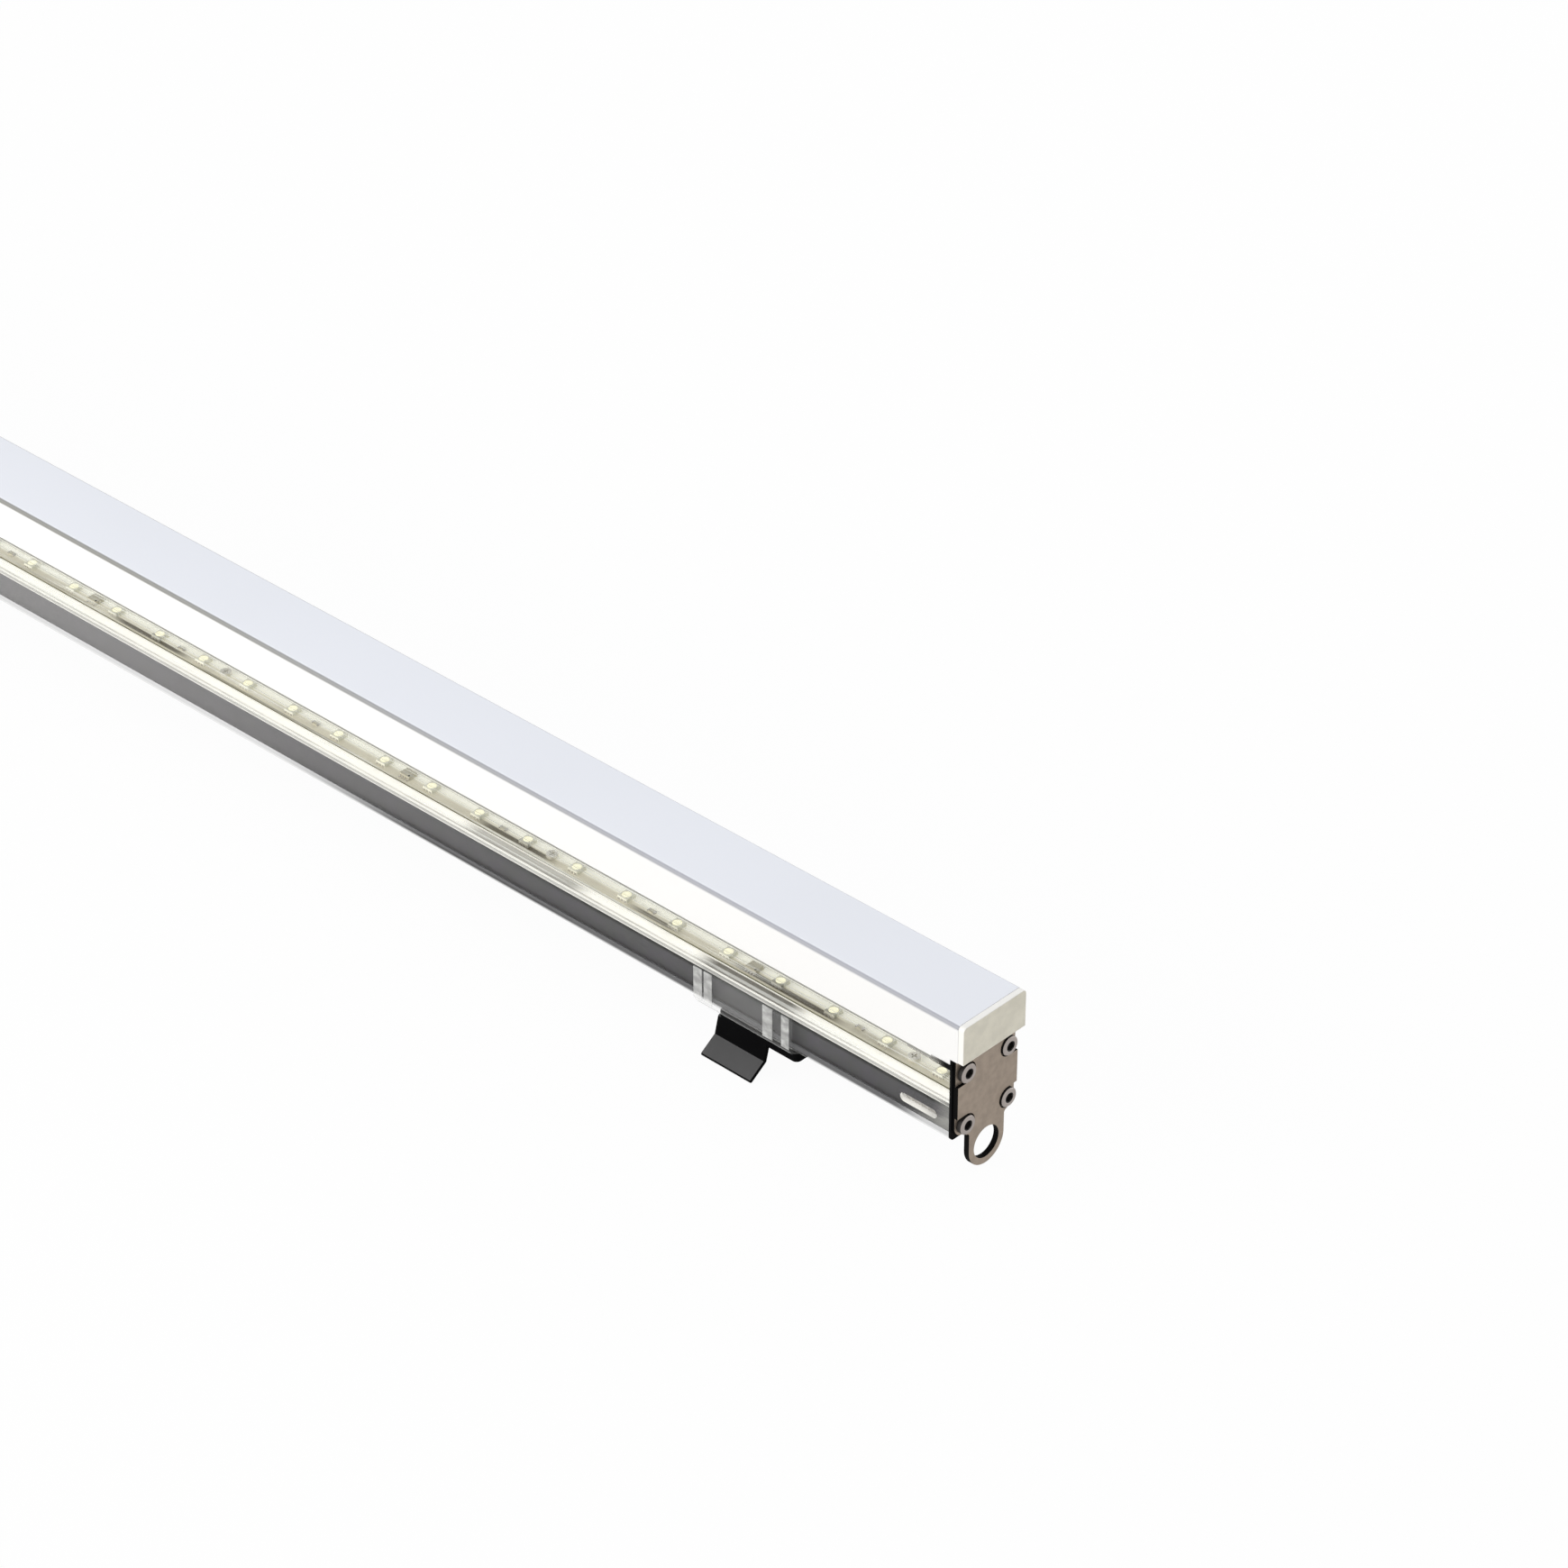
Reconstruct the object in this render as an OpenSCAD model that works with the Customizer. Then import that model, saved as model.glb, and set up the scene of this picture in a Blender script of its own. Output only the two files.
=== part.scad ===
// Linear outdoor wall washer: a clear plastic bar with an opal cover, a metal plate with an eyelet at
// each end, an LED board on a dark aluminium channel inside, and two clips that slide along the bar.
// X runs along the bar and Z points up. The origin lies under the middle of the bar, at the level of
// the clips' feet. The near end is at +X. Heights in the profiles are above the bar's underside.

/* [Bar] */
// Length over the two end caps
bar_len = 1000; // [600:10:1500]
// Width of the bar
bar_w = 30; // [29:0.5:36]
// Height of the bar from its underside to the top of the cover
bar_h = 47; // [45:0.5:56]
// Radius of the long outer edges
edge_r = 1.5; // [0.8:0.1:2.5]

/* [Clear body] */
// Wall of the clear body
body_wall = 1.6; // [1.4:0.1:2]
// Height of the clear body, up to the seam
body_h = 29; // [27:0.5:31]
// Thickness of the snap tongue
tongue_t = 1.2; // [0.8:0.1:1.6]
// Height of the snap tongue above the seam
tongue_rise = 4; // [3.4:0.1:5]
// Height of the shoulder that carries the tongue
shoulder_h = 2; // [1:0.1:3]
// Radius of the snap bead on the tongue
bead_r = 0.5; // [0.3:0.05:0.7]
// Height of the snap bead above the seam
bead_rise = 2.7; // [2.2:0.1:3]
// Height of the side groove that the clips hold
groove_level = 13; // [12.4:0.1:16]
// Width of the side groove
groove_w = 1.3; // [1:0.1:2]
// Depth of the side groove
groove_d = 0.5; // [0.4:0.05:0.8]
// Wall round the clear screw ports
port_wall = 1.8; // [1.5:0.1:2]

/* [Opal cover] */
// Wall of the opal cover
cover_wall = 1.6; // [1.4:0.1:2]
// Thickness of the seal in the seam
seal_t = 0.8; // [0.4:0.1:1.2]

/* [End caps and plates] */
// Depth of the cap that shows, along the bar
cap_t = 2.4; // [2.1:0.1:4]
// Drop of the cap's foot below the plug
cap_lap = 0.8; // [0.5:0.1:1.5]
// Length of the plug inside the cover
plug_len = 12; // [6:0.5:20]
// Wall of the plug
plug_wall = 1.8; // [1:0.1:3]
// Thickness of the end plate
plate_t = 2.2; // [2:0.1:4]
// Depth of the plate's front behind the cap's face
plate_recess = 2.4; // [1:0.1:2.4]
// Margin between the plate's edge and the side of the bar
plate_margin = 0.6; // [0.1:0.1:0.7]
// Thickness of the end gasket
gasket_t = 1; // [0.5:0.1:2]
// Length of the gasket's lip over the seam
lip_len = 8; // [3:0.5:14]
// Thickness of that lip
lip_t = 0.3; // [0.2:0.05:0.5]
// Height of that lip
lip_h = 2; // [1.2:0.1:3]
// Diameter of the eyelet's hole
eyelet_d = 12; // [8:0.5:12.5]
// Width of the rim round the eyelet's hole
eyelet_rim = 2.5; // [2:0.1:2.6]
// Depth of the hole's centre below the bar
eyelet_drop = 7.3; // [6:0.1:7.3]
// Radius of the hollow corner between plate and eyelet
fillet_r = 1.4; // [0.8:0.1:1.4]

/* [End screws] */
// Diameter of the screws
screw_d = 4; // [3:0.5:4]
// Length of the screws under the head
screw_len = 25; // [16:1:40]
// Diameter of the screw heads
head_d = 7; // [6:0.1:7.6]
// Height of the screw heads
head_h = 2; // [1.5:0.1:3]
// Width across the flats of the socket
socket_af = 3; // [2:0.1:3.5]
// Depth of the socket
socket_depth = 1.3; // [0.8:0.1:1.4]
// Distance from the side of the bar to the screws
screw_inset = 5; // [4.8:0.1:5.5]
// Height of the lower screws above the underside
screw_low = 5.3; // [5:0.1:5.6]
// Distance from the seam down to the upper screws
screw_seam_gap = 2.9; // [2.4:0.1:4]
// Radius of the pockets round the heads
pocket_r = 4; // [3.8:0.1:4.2]
// Depth of the pockets
pocket_depth = 1.2; // [0.8:0.1:1.4]

/* [Inner channel] */
// Wall of the inner channel
channel_wall = 1.2; // [1:0.1:1.4]
// Wall round the channel's screw ports
channel_port_wall = 1.15; // [1:0.05:1.3]
// Height of the channel's top edge above the bar's underside
channel_top = 11.8; // [11.5:0.1:13]
// Height of the board's seat above the bar's underside
seat_level = 8.8; // [8.8:0.1:9.2]
// Length of the sight slots beside the lower end screws
slot_len = 16; // [8:0.5:20]
// Distance from the end of the channel to the sight slots
slot_start = 6.2; // [3:0.1:10]
// Height of the sight slots
slot_h = 3.5; // [2:0.1:3.6]

/* [LED board] */
// Width of the board
board_w = 8; // [8:0.1:10]
// Thickness of the board
board_t = 1; // [0.8:0.1:1.6]
// Distance from the bar's end to the end of the board
board_end_gap = 12; // [10:0.5:14]
// Number of LEDs
led_count = 41; // [20:1:60]
// Distance from the bar's end to the first LED
led_end_gap = 22.1; // [20:0.1:26]
// Side of a square LED package
led_w = 5; // [2.8:0.1:5]
// Height of an LED package
led_h = 1.4; // [0.8:0.1:2]
// Diameter of the yellow window of an LED
phosphor_d = 3.9; // [1.6:0.1:4]
// Rise of the white strips beside the board towards the walls
wing_rise = 1.6; // [1.2:0.1:1.8]
// Thickness of the white strips
wing_t = 0.6; // [0.4:0.1:0.9]

/* [Clips] */
// Distance from the bar's end to the middle of a clip
clip_end_gap = 96.1; // [90:0.5:200]
// Clearance between the saddle and the bar
slide_gap = 0.1; // [0.05:0.05:0.2]
// Length of the clear saddle
saddle_len = 43.5; // [36:0.5:60]
// Wall of the saddle
saddle_wall = 1.2; // [0.8:0.1:2]
// Floor of the saddle
saddle_floor = 1.5; // [1.4:0.1:3]
// Height of the raised ribs on the saddle
rib_rise = 0.5; // [0.3:0.1:1]
// Length of the spring clip's base
clip_base_len = 36.1; // [32:0.5:42]
// Width of the spring clip's base
clip_base_w = 28; // [24:0.5:32]
// Thickness of the spring clip's base
clip_base_t = 3.3; // [2.4:0.1:4]
// Offset of the base from the middle of the saddle
clip_base_shift = 4.85; // [0:0.05:6]
// Length of a leg along the bar
leg_len = 22.4; // [12:0.2:28]
// Thickness of legs and feet
leg_t = 1.6; // [1.2:0.1:2]
// Drop of a leg from the base to its fold
leg_fall = 5.8; // [5.8:0.1:12]
// Outward lean of a leg over its drop
leg_splay = 1.7; // [0.5:0.1:3]
// Drop of a foot from the fold to its tip
foot_fall = 4.4; // [4.4:0.1:8]
// Outward reach of a foot
foot_reach = 6.5; // [3:0.1:9]
// Diameter of the rivets
rivet_d = 4; // [3:0.1:5]
// Distance between the two rivets
rivet_span = 21; // [16:0.5:24]

/* [Cable inlet] */
// Distance from the far end of the bar to the inlet
gland_end_gap = 30; // [28:0.5:34]
// Thread diameter of the gland
gland_d = 12; // [10:0.5:12]
// Width across the flats of the gland's flange
flange_af = 17; // [16:0.5:17]
// Thickness of the gland's flange
flange_t = 3; // [2:0.1:3.4]
// Length of the dome nut
dome_len = 7.8; // [7:0.1:8]
// Diameter of the dome nut
dome_d = 15.5; // [15:0.1:16.5]
// Diameter of the cable that the gland takes
cable_d = 5.2; // [4:0.1:6]

/* [Hidden] */
$fn = 48;
hex_sides = 6;

// Running clearance of screws and rivets in their holes
fit = 0.05;
// Clearance of pieces that snap or press together
snap_gap = 0.1;
// Easy clearance of pieces that are only laid in
ease = 0.2;
// Overrun of every cut
cut = 1;
// Overlap of the parts of one profile
merge = 0.1;

// Half widths and levels of the two profiles
half_w = bar_w / 2;
wall_in = half_w - body_wall;
cover_in = half_w - cover_wall;
cover_foot = body_h + seal_t;
tongue_out = min(wall_in, cover_in) - snap_gap;
tongue_in = tongue_out - tongue_t;
bead_level = body_h + bead_rise;

// Places of the end screws in the section
screw_y = half_w - screw_inset;
screw_high = body_h - screw_seam_gap;
bore_r = screw_d / 2 + fit;
hole_r = screw_d / 2 + ease;
// Slot along each screw port, which the extrusion's die needs
port_slot = 1.6;

// Places along the bar, from its middle
half_len = bar_len / 2;
cover_end = half_len - cap_t;
plate_front = half_len - plate_recess;
plate_back = plate_front - plate_t;
body_end = plate_back - gasket_t;
plug_foot = body_h + tongue_rise + snap_gap + ease;
cap_foot = plug_foot - cap_lap;
plate_top = cap_foot - ease;

// Eyelet and outline of the end plate
plate_half_w = half_w - plate_margin;
ear_r = screw_inset - plate_margin;
plate_foot = screw_low - ear_r;
eyelet_r = eyelet_d / 2;
eyelet_out = eyelet_r + eyelet_rim;
head_chamfer = 0.3;

// Inner channel
channel_out = wall_in - ease;
channel_in = channel_out - channel_wall;
channel_end_gap = 0.5;
channel_end = body_end - channel_end_gap;
channel_foot_w = 3.3;
channel_port_r = bore_r + channel_port_wall;
wire_notch_w = 7;
wire_notch_gap = 1;

// LED board and what it carries
board_top = seat_level + board_t;
board_end = half_len - board_end_gap;
led_first = half_len - led_end_gap;
led_pitch = 2 * led_first / (led_count - 1);
phosphor_t = 0.4;
wing_foot_w = 1.5;
wing_in = board_w / 2 + ease;
wing_out = channel_in - ease;
chip_l = 4.9;
chip_w = 3.9;
chip_h = 1.5;
chip_leg_w = 0.4;
chip_leg_pitch = 1.27;
chip_leg_reach = 6;
chip_leg_h = 0.5;
resistor_l = 3.2;
resistor_w = 1.6;
resistor_h = 0.6;
board_screw_d = 2.5;
board_screw_head_d = 4.4;
board_screw_head_h = 1.2;
board_screw_slot = 0.5;
board_screw_len = 3.4;
terminal_l = 7;
terminal_w = 7;
terminal_h = 5;
terminal_inset = 0.5;
terminal_pitch = 3.2;
terminal_well_d = 2.2;
terminal_well_h = 2;
terminal_entry_d = 1.8;
terminal_entry_len = 3;
terminal_entry_level = 1.6;
lead_d = 1.6;
lead_bend = 2.2;
lead_level = 6;
lead_end_gap = 8.8;
// Number of gaps between LEDs after which the chips, resistors and screws repeat
repeat_count = 7;

// Clips
saddle_in = half_w + slide_gap;
saddle_out = saddle_in + saddle_wall;
saddle_top = groove_level + groove_w - slide_gap;
saddle_under = -slide_gap - saddle_floor;
clip_under = saddle_under - clip_base_t;
leg_fold = clip_under - leg_fall;
foot_tip = leg_fold - foot_fall;
clip_x = half_len - clip_end_gap;
base_corner_r = 2;
rivet_head_d = 6.8;
rivet_head_h = 1.1;
rivet_sink = 1.2;
// Starts and ends of the saddle's raised ribs, along its length
rib_shares = [[0, 0.09], [0.11, 0.195], [0.725, 0.828], [0.92, 1]];

// Height of the bar's underside above the ground that the feet stand on
bar_level = max(leg_t / 2 - foot_tip, eyelet_drop + eyelet_out);

// Cable inlet
gland_x = -(half_len - gland_end_gap);
gland_gasket_t = 1;
gland_gasket_d = 16.6;
gland_stem_up = 4.6;
gland_collar_len = 4.5;
gland_wall = 1.45;
locknut_af = 16;
locknut_t = 2.6;
dome_gap = 0.2;
dome_end_t = 2;
dome_mouth_d = cable_d + 3 * ease;
dome_round = 2.5;
seal_d = gland_d - 2 * gland_wall - 2 * snap_gap;
gland_flange_under = -gland_gasket_t - flange_t;
dome_top = gland_flange_under - dome_gap;
dome_under = dome_top - dome_len;
gland_seal_foot = dome_under + dome_end_t + dome_gap;
gland_seal_top = -gland_gasket_t;

function led_x(i) = led_first - i * led_pitch;
function gap_x(i) = led_x(i) - led_pitch / 2;
function hex_r(af) = af / sqrt(3);

// Extrudes a profile of the section from x0 to x1
module along_bar(x0, x1) {
    translate([x0, 0, bar_level]) rotate([90, 0, 90]) linear_extrude(x1 - x0) children();
}

// Draws a profile on both sides of the section
module both_sides() {
    children();
    mirror([1, 0]) children();
}

// Puts a piece of the near end at the far end
module far_end() {
    mirror([1, 0, 0]) children();
}

// A box of width w from level v0 to v1 whose lower corners are round
module round_below(w, v0, v1, r) {
    difference() {
        translate([-w / 2, v0]) square([w, v1 - v0]);
        both_sides() translate([w / 2 - r, v0 + r]) difference() {
            translate([0, -r - cut]) square(r + cut);
            circle(r);
        }
    }
}

// The same with round upper corners
module round_above(w, v0, v1, r) {
    translate([0, v0 + v1]) mirror([0, 1]) round_below(w, v0, v1, r);
}

// A bar of even thickness t between two points of the section
module strip(a, b, t) {
    d = b - a;
    translate(a) rotate(atan2(d[1], d[0])) translate([0, -t / 2]) square([norm(d), t]);
}

module at_screws() {
    for (y = [-screw_y, screw_y], v = [screw_low, screw_high]) translate([y, v]) children();
}

// Clear body

module body_profile() {
    difference() {
        union() {
            difference() {
                round_below(bar_w, 0, body_h, edge_r);
                translate([-wall_in, body_wall]) square([2 * wall_in, body_h]);
            }
            both_sides() {
                translate([tongue_in, body_h - shoulder_h]) square([wall_in + merge - tongue_in, shoulder_h]);
                translate([tongue_in, body_h - merge]) square([tongue_t, tongue_rise + merge]);
                translate([tongue_out, bead_level]) circle(bead_r);
                translate([screw_y, screw_high]) circle(bore_r + port_wall);
            }
        }
        both_sides() {
            translate([screw_y, screw_high]) circle(bore_r);
            translate([0, screw_high - port_slot / 2]) square([screw_y, port_slot]);
            translate([half_w - groove_d, groove_level]) square([groove_d + cut, groove_w]);
        }
    }
}

module clear_body() {
    color([0.86, 0.88, 0.85, 0.45]) difference() {
        along_bar(-body_end, body_end) body_profile();
        translate([gland_x, 0, bar_level - cut]) cylinder(r = gland_d / 2 + fit, h = body_wall + 2 * cut);
    }
}

// Opal cover and its seals

module cover_profile() {
    difference() {
        round_above(bar_w, cover_foot, bar_h, edge_r);
        translate([-cover_in, cover_foot - cut]) square([2 * cover_in, bar_h - cover_wall - cover_foot + cut]);
        both_sides() translate([tongue_out, bead_level]) circle(bead_r + snap_gap);
    }
}

module opal_cover() {
    notch_top = cap_foot - ease / 2;
    color([0.92, 0.93, 0.96]) difference() {
        along_bar(-cover_end, cover_end) cover_profile();
        for (side = [-1, 1]) along_bar(side * (body_end + cover_end + cut) / 2 - (cover_end + cut - body_end) / 2,
                side * (body_end + cover_end + cut) / 2 + (cover_end + cut - body_end) / 2)
            translate([-bar_w / 2 - cut, cover_foot - cut]) square([bar_w + 2 * cut, notch_top - cover_foot + cut]);
    }
}

module cover_seals() {
    color([0.35, 0.36, 0.34]) along_bar(-body_end, body_end) both_sides()
        translate([cover_in, body_h]) square([cover_wall - snap_gap, seal_t]);
}

// Inner channel and white strips

module channel_profile() {
    difference() {
        both_sides() {
            translate([channel_in, body_wall]) square([channel_wall, channel_top - body_wall]);
            translate([0, seat_level - channel_wall]) square([channel_in + merge, channel_wall]);
            translate([channel_out - channel_foot_w, body_wall]) square([channel_foot_w, channel_wall]);
            translate([screw_y, screw_low]) circle(channel_port_r);
        }
        both_sides() {
            translate([screw_y, screw_low]) circle(bore_r);
            translate([0, screw_low - port_slot / 2]) square([screw_y, port_slot]);
        }
    }
}

// A milled slot through the channel's wall, which opens the lower screw port to view
module sight_slot() {
    x1 = channel_end - slot_start - slot_h / 2;
    x0 = x1 - slot_len + slot_h;
    translate([0, 0, bar_level + screw_low]) rotate([-90, 0, 0]) {
        translate([x0, -slot_h / 2, screw_y]) cube([x1 - x0, slot_h, screw_inset]);
        for (x = [x0, x1]) translate([x, 0, screw_y]) cylinder(d = slot_h, h = screw_inset);
    }
}

module inner_channel() {
    notch_x = board_end + wire_notch_gap;
    color([0.34, 0.34, 0.35]) difference() {
        along_bar(-channel_end, channel_end) channel_profile();
        for (turn = [0, 180]) rotate(turn) {
            sight_slot();
            mirror([0, 1, 0]) sight_slot();
        }
        translate([-channel_end - cut, -wire_notch_w / 2, bar_level + seat_level - channel_wall - cut])
            cube([channel_end + cut - notch_x, wire_notch_w, channel_wall + 2 * cut]);
        translate([gland_x, 0, bar_level]) cylinder(r = hex_r(locknut_af) + ease, h = body_wall + locknut_t + ease);
        board_screw_holes();
    }
}

module reflector_wings() {
    color([0.95, 0.95, 0.92]) along_bar(-channel_end, channel_end) both_sides() polygon([
        [wing_in, seat_level],
        [wing_in + wing_foot_w, seat_level],
        [wing_out, seat_level + wing_rise],
        [wing_out, seat_level + wing_rise + wing_t],
        [wing_in + wing_foot_w, seat_level + wing_t],
        [wing_in, seat_level + wing_t]]);
}

// LED board and what it carries

module in_gaps(places) {
    for (i = [0 : led_count - 2], place = places) if (i % repeat_count == place)
        translate([gap_x(i), 0, bar_level + board_top]) children();
}

module board_screw_holes() {
    in_gaps([0]) translate([0, 0, -board_screw_len - cut])
        cylinder(d = board_screw_d + 2 * fit, h = board_screw_len + 2 * cut);
}

module led_board() {
    color([0.80, 0.79, 0.66]) difference() {
        along_bar(-board_end, board_end) translate([-board_w / 2, seat_level]) square([board_w, board_t]);
        board_screw_holes();
    }
}

module led_packages() {
    color([0.93, 0.92, 0.86]) for (i = [0 : led_count - 1]) translate([led_x(i), 0, bar_level + board_top])
        difference() {
            translate([-led_w / 2, -led_w / 2, 0]) cube([led_w, led_w, led_h]);
            translate([0, 0, led_h - phosphor_t]) cylinder(d = phosphor_d, h = cut);
        }
}

module led_phosphors() {
    color([0.95, 0.86, 0.30]) for (i = [0 : led_count - 1])
        translate([led_x(i), 0, bar_level + board_top + led_h - phosphor_t])
            cylinder(d = phosphor_d - 2 * fit, h = phosphor_t);
}

module driver_chips() {
    color([0.12, 0.12, 0.13]) in_gaps([3]) {
        translate([-chip_l / 2, -chip_w / 2, 0]) cube([chip_l, chip_w, chip_h]);
        for (k = [-1.5 : 1.5]) translate([k * chip_leg_pitch - chip_leg_w / 2, -chip_leg_reach / 2, 0])
            cube([chip_leg_w, chip_leg_reach, chip_leg_h]);
    }
}

module resistors() {
    color([0.15, 0.15, 0.16]) in_gaps([1, 5])
        translate([-resistor_l / 2, -resistor_w / 2, 0]) cube([resistor_l, resistor_w, resistor_h]);
}

module board_screws() {
    color([0.75, 0.75, 0.74]) in_gaps([0]) difference() {
        union() {
            cylinder(d = board_screw_head_d, h = board_screw_head_h);
            translate([0, 0, -board_screw_len]) cylinder(d = board_screw_d, h = board_screw_len + merge);
        }
        for (turn = [0, 90]) rotate(turn) translate([-board_screw_d / 2, -board_screw_slot / 2, board_screw_head_h / 2])
            cube([board_screw_d, board_screw_slot, board_screw_head_h]);
    }
}

module supply_terminal() {
    color([0.16, 0.42, 0.24]) translate([terminal_inset - board_end, 0, bar_level + board_top]) difference() {
        translate([0, -terminal_w / 2, 0]) cube([terminal_l, terminal_w, terminal_h]);
        for (y = [-terminal_pitch / 2, terminal_pitch / 2]) {
            translate([terminal_l / 2, y, terminal_h - terminal_well_h])
                cylinder(d = terminal_well_d, h = terminal_well_h + cut);
            translate([-cut, y, terminal_entry_level]) rotate([0, 90, 0])
                cylinder(d = terminal_entry_d, h = terminal_entry_len + cut);
        }
    }
}

// A quarter bend of a lead round the middle of its arc, from angle a onwards
module lead_bend(x, v, a) {
    translate([x, 0, v]) rotate([90, 0, 0]) rotate(a) rotate_extrude(angle = 90)
        translate([lead_bend, 0]) circle(d = lead_d, $fn = 24);
}

// The two leads run from the cable inlet under the channel and up to the terminal
module supply_leads() {
    x_up = lead_end_gap - half_len;
    x_entry = terminal_inset - board_end;
    v_entry = board_top + terminal_entry_level;
    color([0.55, 0.20, 0.14]) for (y = [-terminal_pitch / 2, terminal_pitch / 2]) translate([0, y, bar_level]) {
        translate([gland_x, 0, 0]) cylinder(d = lead_d, h = lead_level - lead_bend, $fn = 24);
        lead_bend(gland_x - lead_bend, lead_level - lead_bend, 0);
        translate([x_up + lead_bend, 0, lead_level]) rotate([0, 90, 0])
            cylinder(d = lead_d, h = gland_x - x_up - 2 * lead_bend, $fn = 24);
        lead_bend(x_up + lead_bend, lead_level + lead_bend, 180);
        translate([x_up, 0, lead_level + lead_bend])
            cylinder(d = lead_d, h = v_entry - lead_level - 2 * lead_bend, $fn = 24);
        lead_bend(x_up + lead_bend, v_entry - lead_bend, 90);
        translate([x_up + lead_bend, 0, v_entry]) rotate([0, 90, 0])
            cylinder(d = lead_d, h = x_entry + terminal_entry_len - x_up - lead_bend, $fn = 24);
    }
}

// End caps, gaskets, plates and screws, all drawn at the near end

module end_cap() {
    plug_half_w = cover_in - ease;
    plug_top = bar_h - cover_wall - ease;
    plug_start = cover_end - plug_len;
    color([0.87, 0.85, 0.78]) difference() {
        union() {
            along_bar(cover_end, half_len) round_above(bar_w, cap_foot, bar_h, edge_r);
            along_bar(plug_start, cover_end + merge)
                translate([-plug_half_w, plug_foot]) square([2 * plug_half_w, plug_top - plug_foot]);
        }
        along_bar(plug_start - cut, cover_end - plug_wall)
            translate([plug_wall - plug_half_w, plug_foot + plug_wall])
                square([2 * (plug_half_w - plug_wall), plug_top - plug_foot - 2 * plug_wall]);
    }
}

module end_gasket() {
    color([0.07, 0.07, 0.07]) {
        along_bar(body_end, plate_back) difference() {
            round_below(bar_w, 0, plate_top, edge_r);
            at_screws() circle(hole_r);
        }
        lip_level = body_h + seal_t / 2 - lip_h / 2;
        along_bar(body_end - lip_len, plate_back) both_sides()
            translate([half_w, lip_level]) square([lip_t, lip_h]);
        along_bar(body_end, plate_back) both_sides()
            translate([half_w - merge, lip_level]) square([merge + lip_t, lip_h]);
    }
}

module plate_outline() {
    translate([-plate_half_w, screw_low]) square([2 * plate_half_w, plate_top - screw_low]);
    translate([-screw_y, plate_foot]) square([2 * screw_y, screw_low - plate_foot]);
    translate([-eyelet_out, -eyelet_drop]) square([2 * eyelet_out, eyelet_drop + screw_low]);
    translate([0, -eyelet_drop]) circle(eyelet_out);
    both_sides() {
        translate([screw_y, screw_low]) circle(ear_r);
        difference() {
            translate([eyelet_out - merge, plate_foot - fillet_r]) square([fillet_r + merge, fillet_r + merge]);
            translate([eyelet_out + fillet_r, plate_foot - fillet_r]) circle(fillet_r);
        }
    }
}

// A pocket round each screw head, open towards the plate's corner
module pocket_outline() {
    both_sides() {
        translate([screw_y, screw_low]) circle(pocket_r);
        translate([screw_y, screw_high]) circle(pocket_r);
        translate([screw_y, plate_foot - cut]) square([ear_r + cut, screw_low - plate_foot + pocket_r + cut]);
        translate([screw_y, screw_high - pocket_r])
            square([ear_r + cut, plate_top - screw_high + pocket_r + cut]);
    }
}

module end_plate() {
    color([0.56, 0.51, 0.48]) difference() {
        along_bar(plate_back, plate_front) difference() {
            plate_outline();
            at_screws() circle(hole_r);
            translate([0, -eyelet_drop]) circle(eyelet_r);
        }
        along_bar(plate_front - pocket_depth, plate_front + cut) pocket_outline();
    }
}

module end_screws() {
    seat = plate_front - pocket_depth;
    color([0.66, 0.63, 0.61]) for (y = [-screw_y, screw_y], v = [screw_low, screw_high])
        translate([seat, y, bar_level + v]) rotate([0, 90, 0]) difference() {
            union() {
                cylinder(d = head_d, h = head_h - head_chamfer);
                translate([0, 0, head_h - head_chamfer])
                    cylinder(d1 = head_d, d2 = head_d - 2 * head_chamfer, h = head_chamfer);
                translate([0, 0, screw_d / 2 - screw_len]) cylinder(d = screw_d, h = screw_len - screw_d / 2 + merge);
                translate([0, 0, -screw_len]) cylinder(d1 = screw_d / 2, d2 = screw_d, h = screw_d / 2);
            }
            translate([0, 0, head_h - socket_depth]) cylinder(r = hex_r(socket_af), h = head_h, $fn = hex_sides);
        }
}

// Clips, drawn round their own middle

module at_near_clip() {
    translate([clip_x, 0, 0]) children();
}

module at_far_clip() {
    rotate(180) at_near_clip() children();
}

module at_rivets() {
    for (x = [-rivet_span / 2, rivet_span / 2]) translate([clip_base_shift + x, 0, bar_level]) children();
}

module rivet_sink(gap) {
    translate([0, 0, -slide_gap - rivet_sink])
        cylinder(d1 = rivet_d + 2 * gap, d2 = rivet_head_d + 2 * gap, h = rivet_sink);
}

module clip_saddle() {
    color([0.90, 0.92, 0.92, 0.5]) difference() {
        union() {
            along_bar(-saddle_len / 2, saddle_len / 2) {
                difference() {
                    round_below(2 * saddle_out, saddle_under, saddle_top, edge_r + slide_gap + saddle_wall);
                    round_below(2 * saddle_in, -slide_gap, saddle_top + cut, edge_r + slide_gap);
                }
                both_sides() translate([half_w - groove_d + slide_gap, groove_level + slide_gap])
                    square([groove_d + saddle_wall / 2, groove_w - 2 * slide_gap]);
            }
            for (ends = rib_shares)
                along_bar(ends[0] * saddle_len - saddle_len / 2, ends[1] * saddle_len - saddle_len / 2)
                both_sides() translate([saddle_out - merge, edge_r]) square([rib_rise + merge, saddle_top - edge_r]);
        }
        at_rivets() {
            rivet_sink(fit);
            translate([0, 0, saddle_under - cut]) cylinder(d = rivet_d + 2 * fit, h = saddle_floor + cut);
        }
    }
}

module leg_profile() {
    root = [clip_base_w / 2 - leg_t / 2, clip_under + leg_t / 2];
    fold = [clip_base_w / 2 - leg_t / 2 + leg_splay, leg_fold];
    tip = fold + [foot_reach, -foot_fall];
    strip(root, fold, leg_t);
    strip(fold, tip, leg_t);
    for (p = [root, fold, tip]) translate(p) circle(d = leg_t);
}

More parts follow.
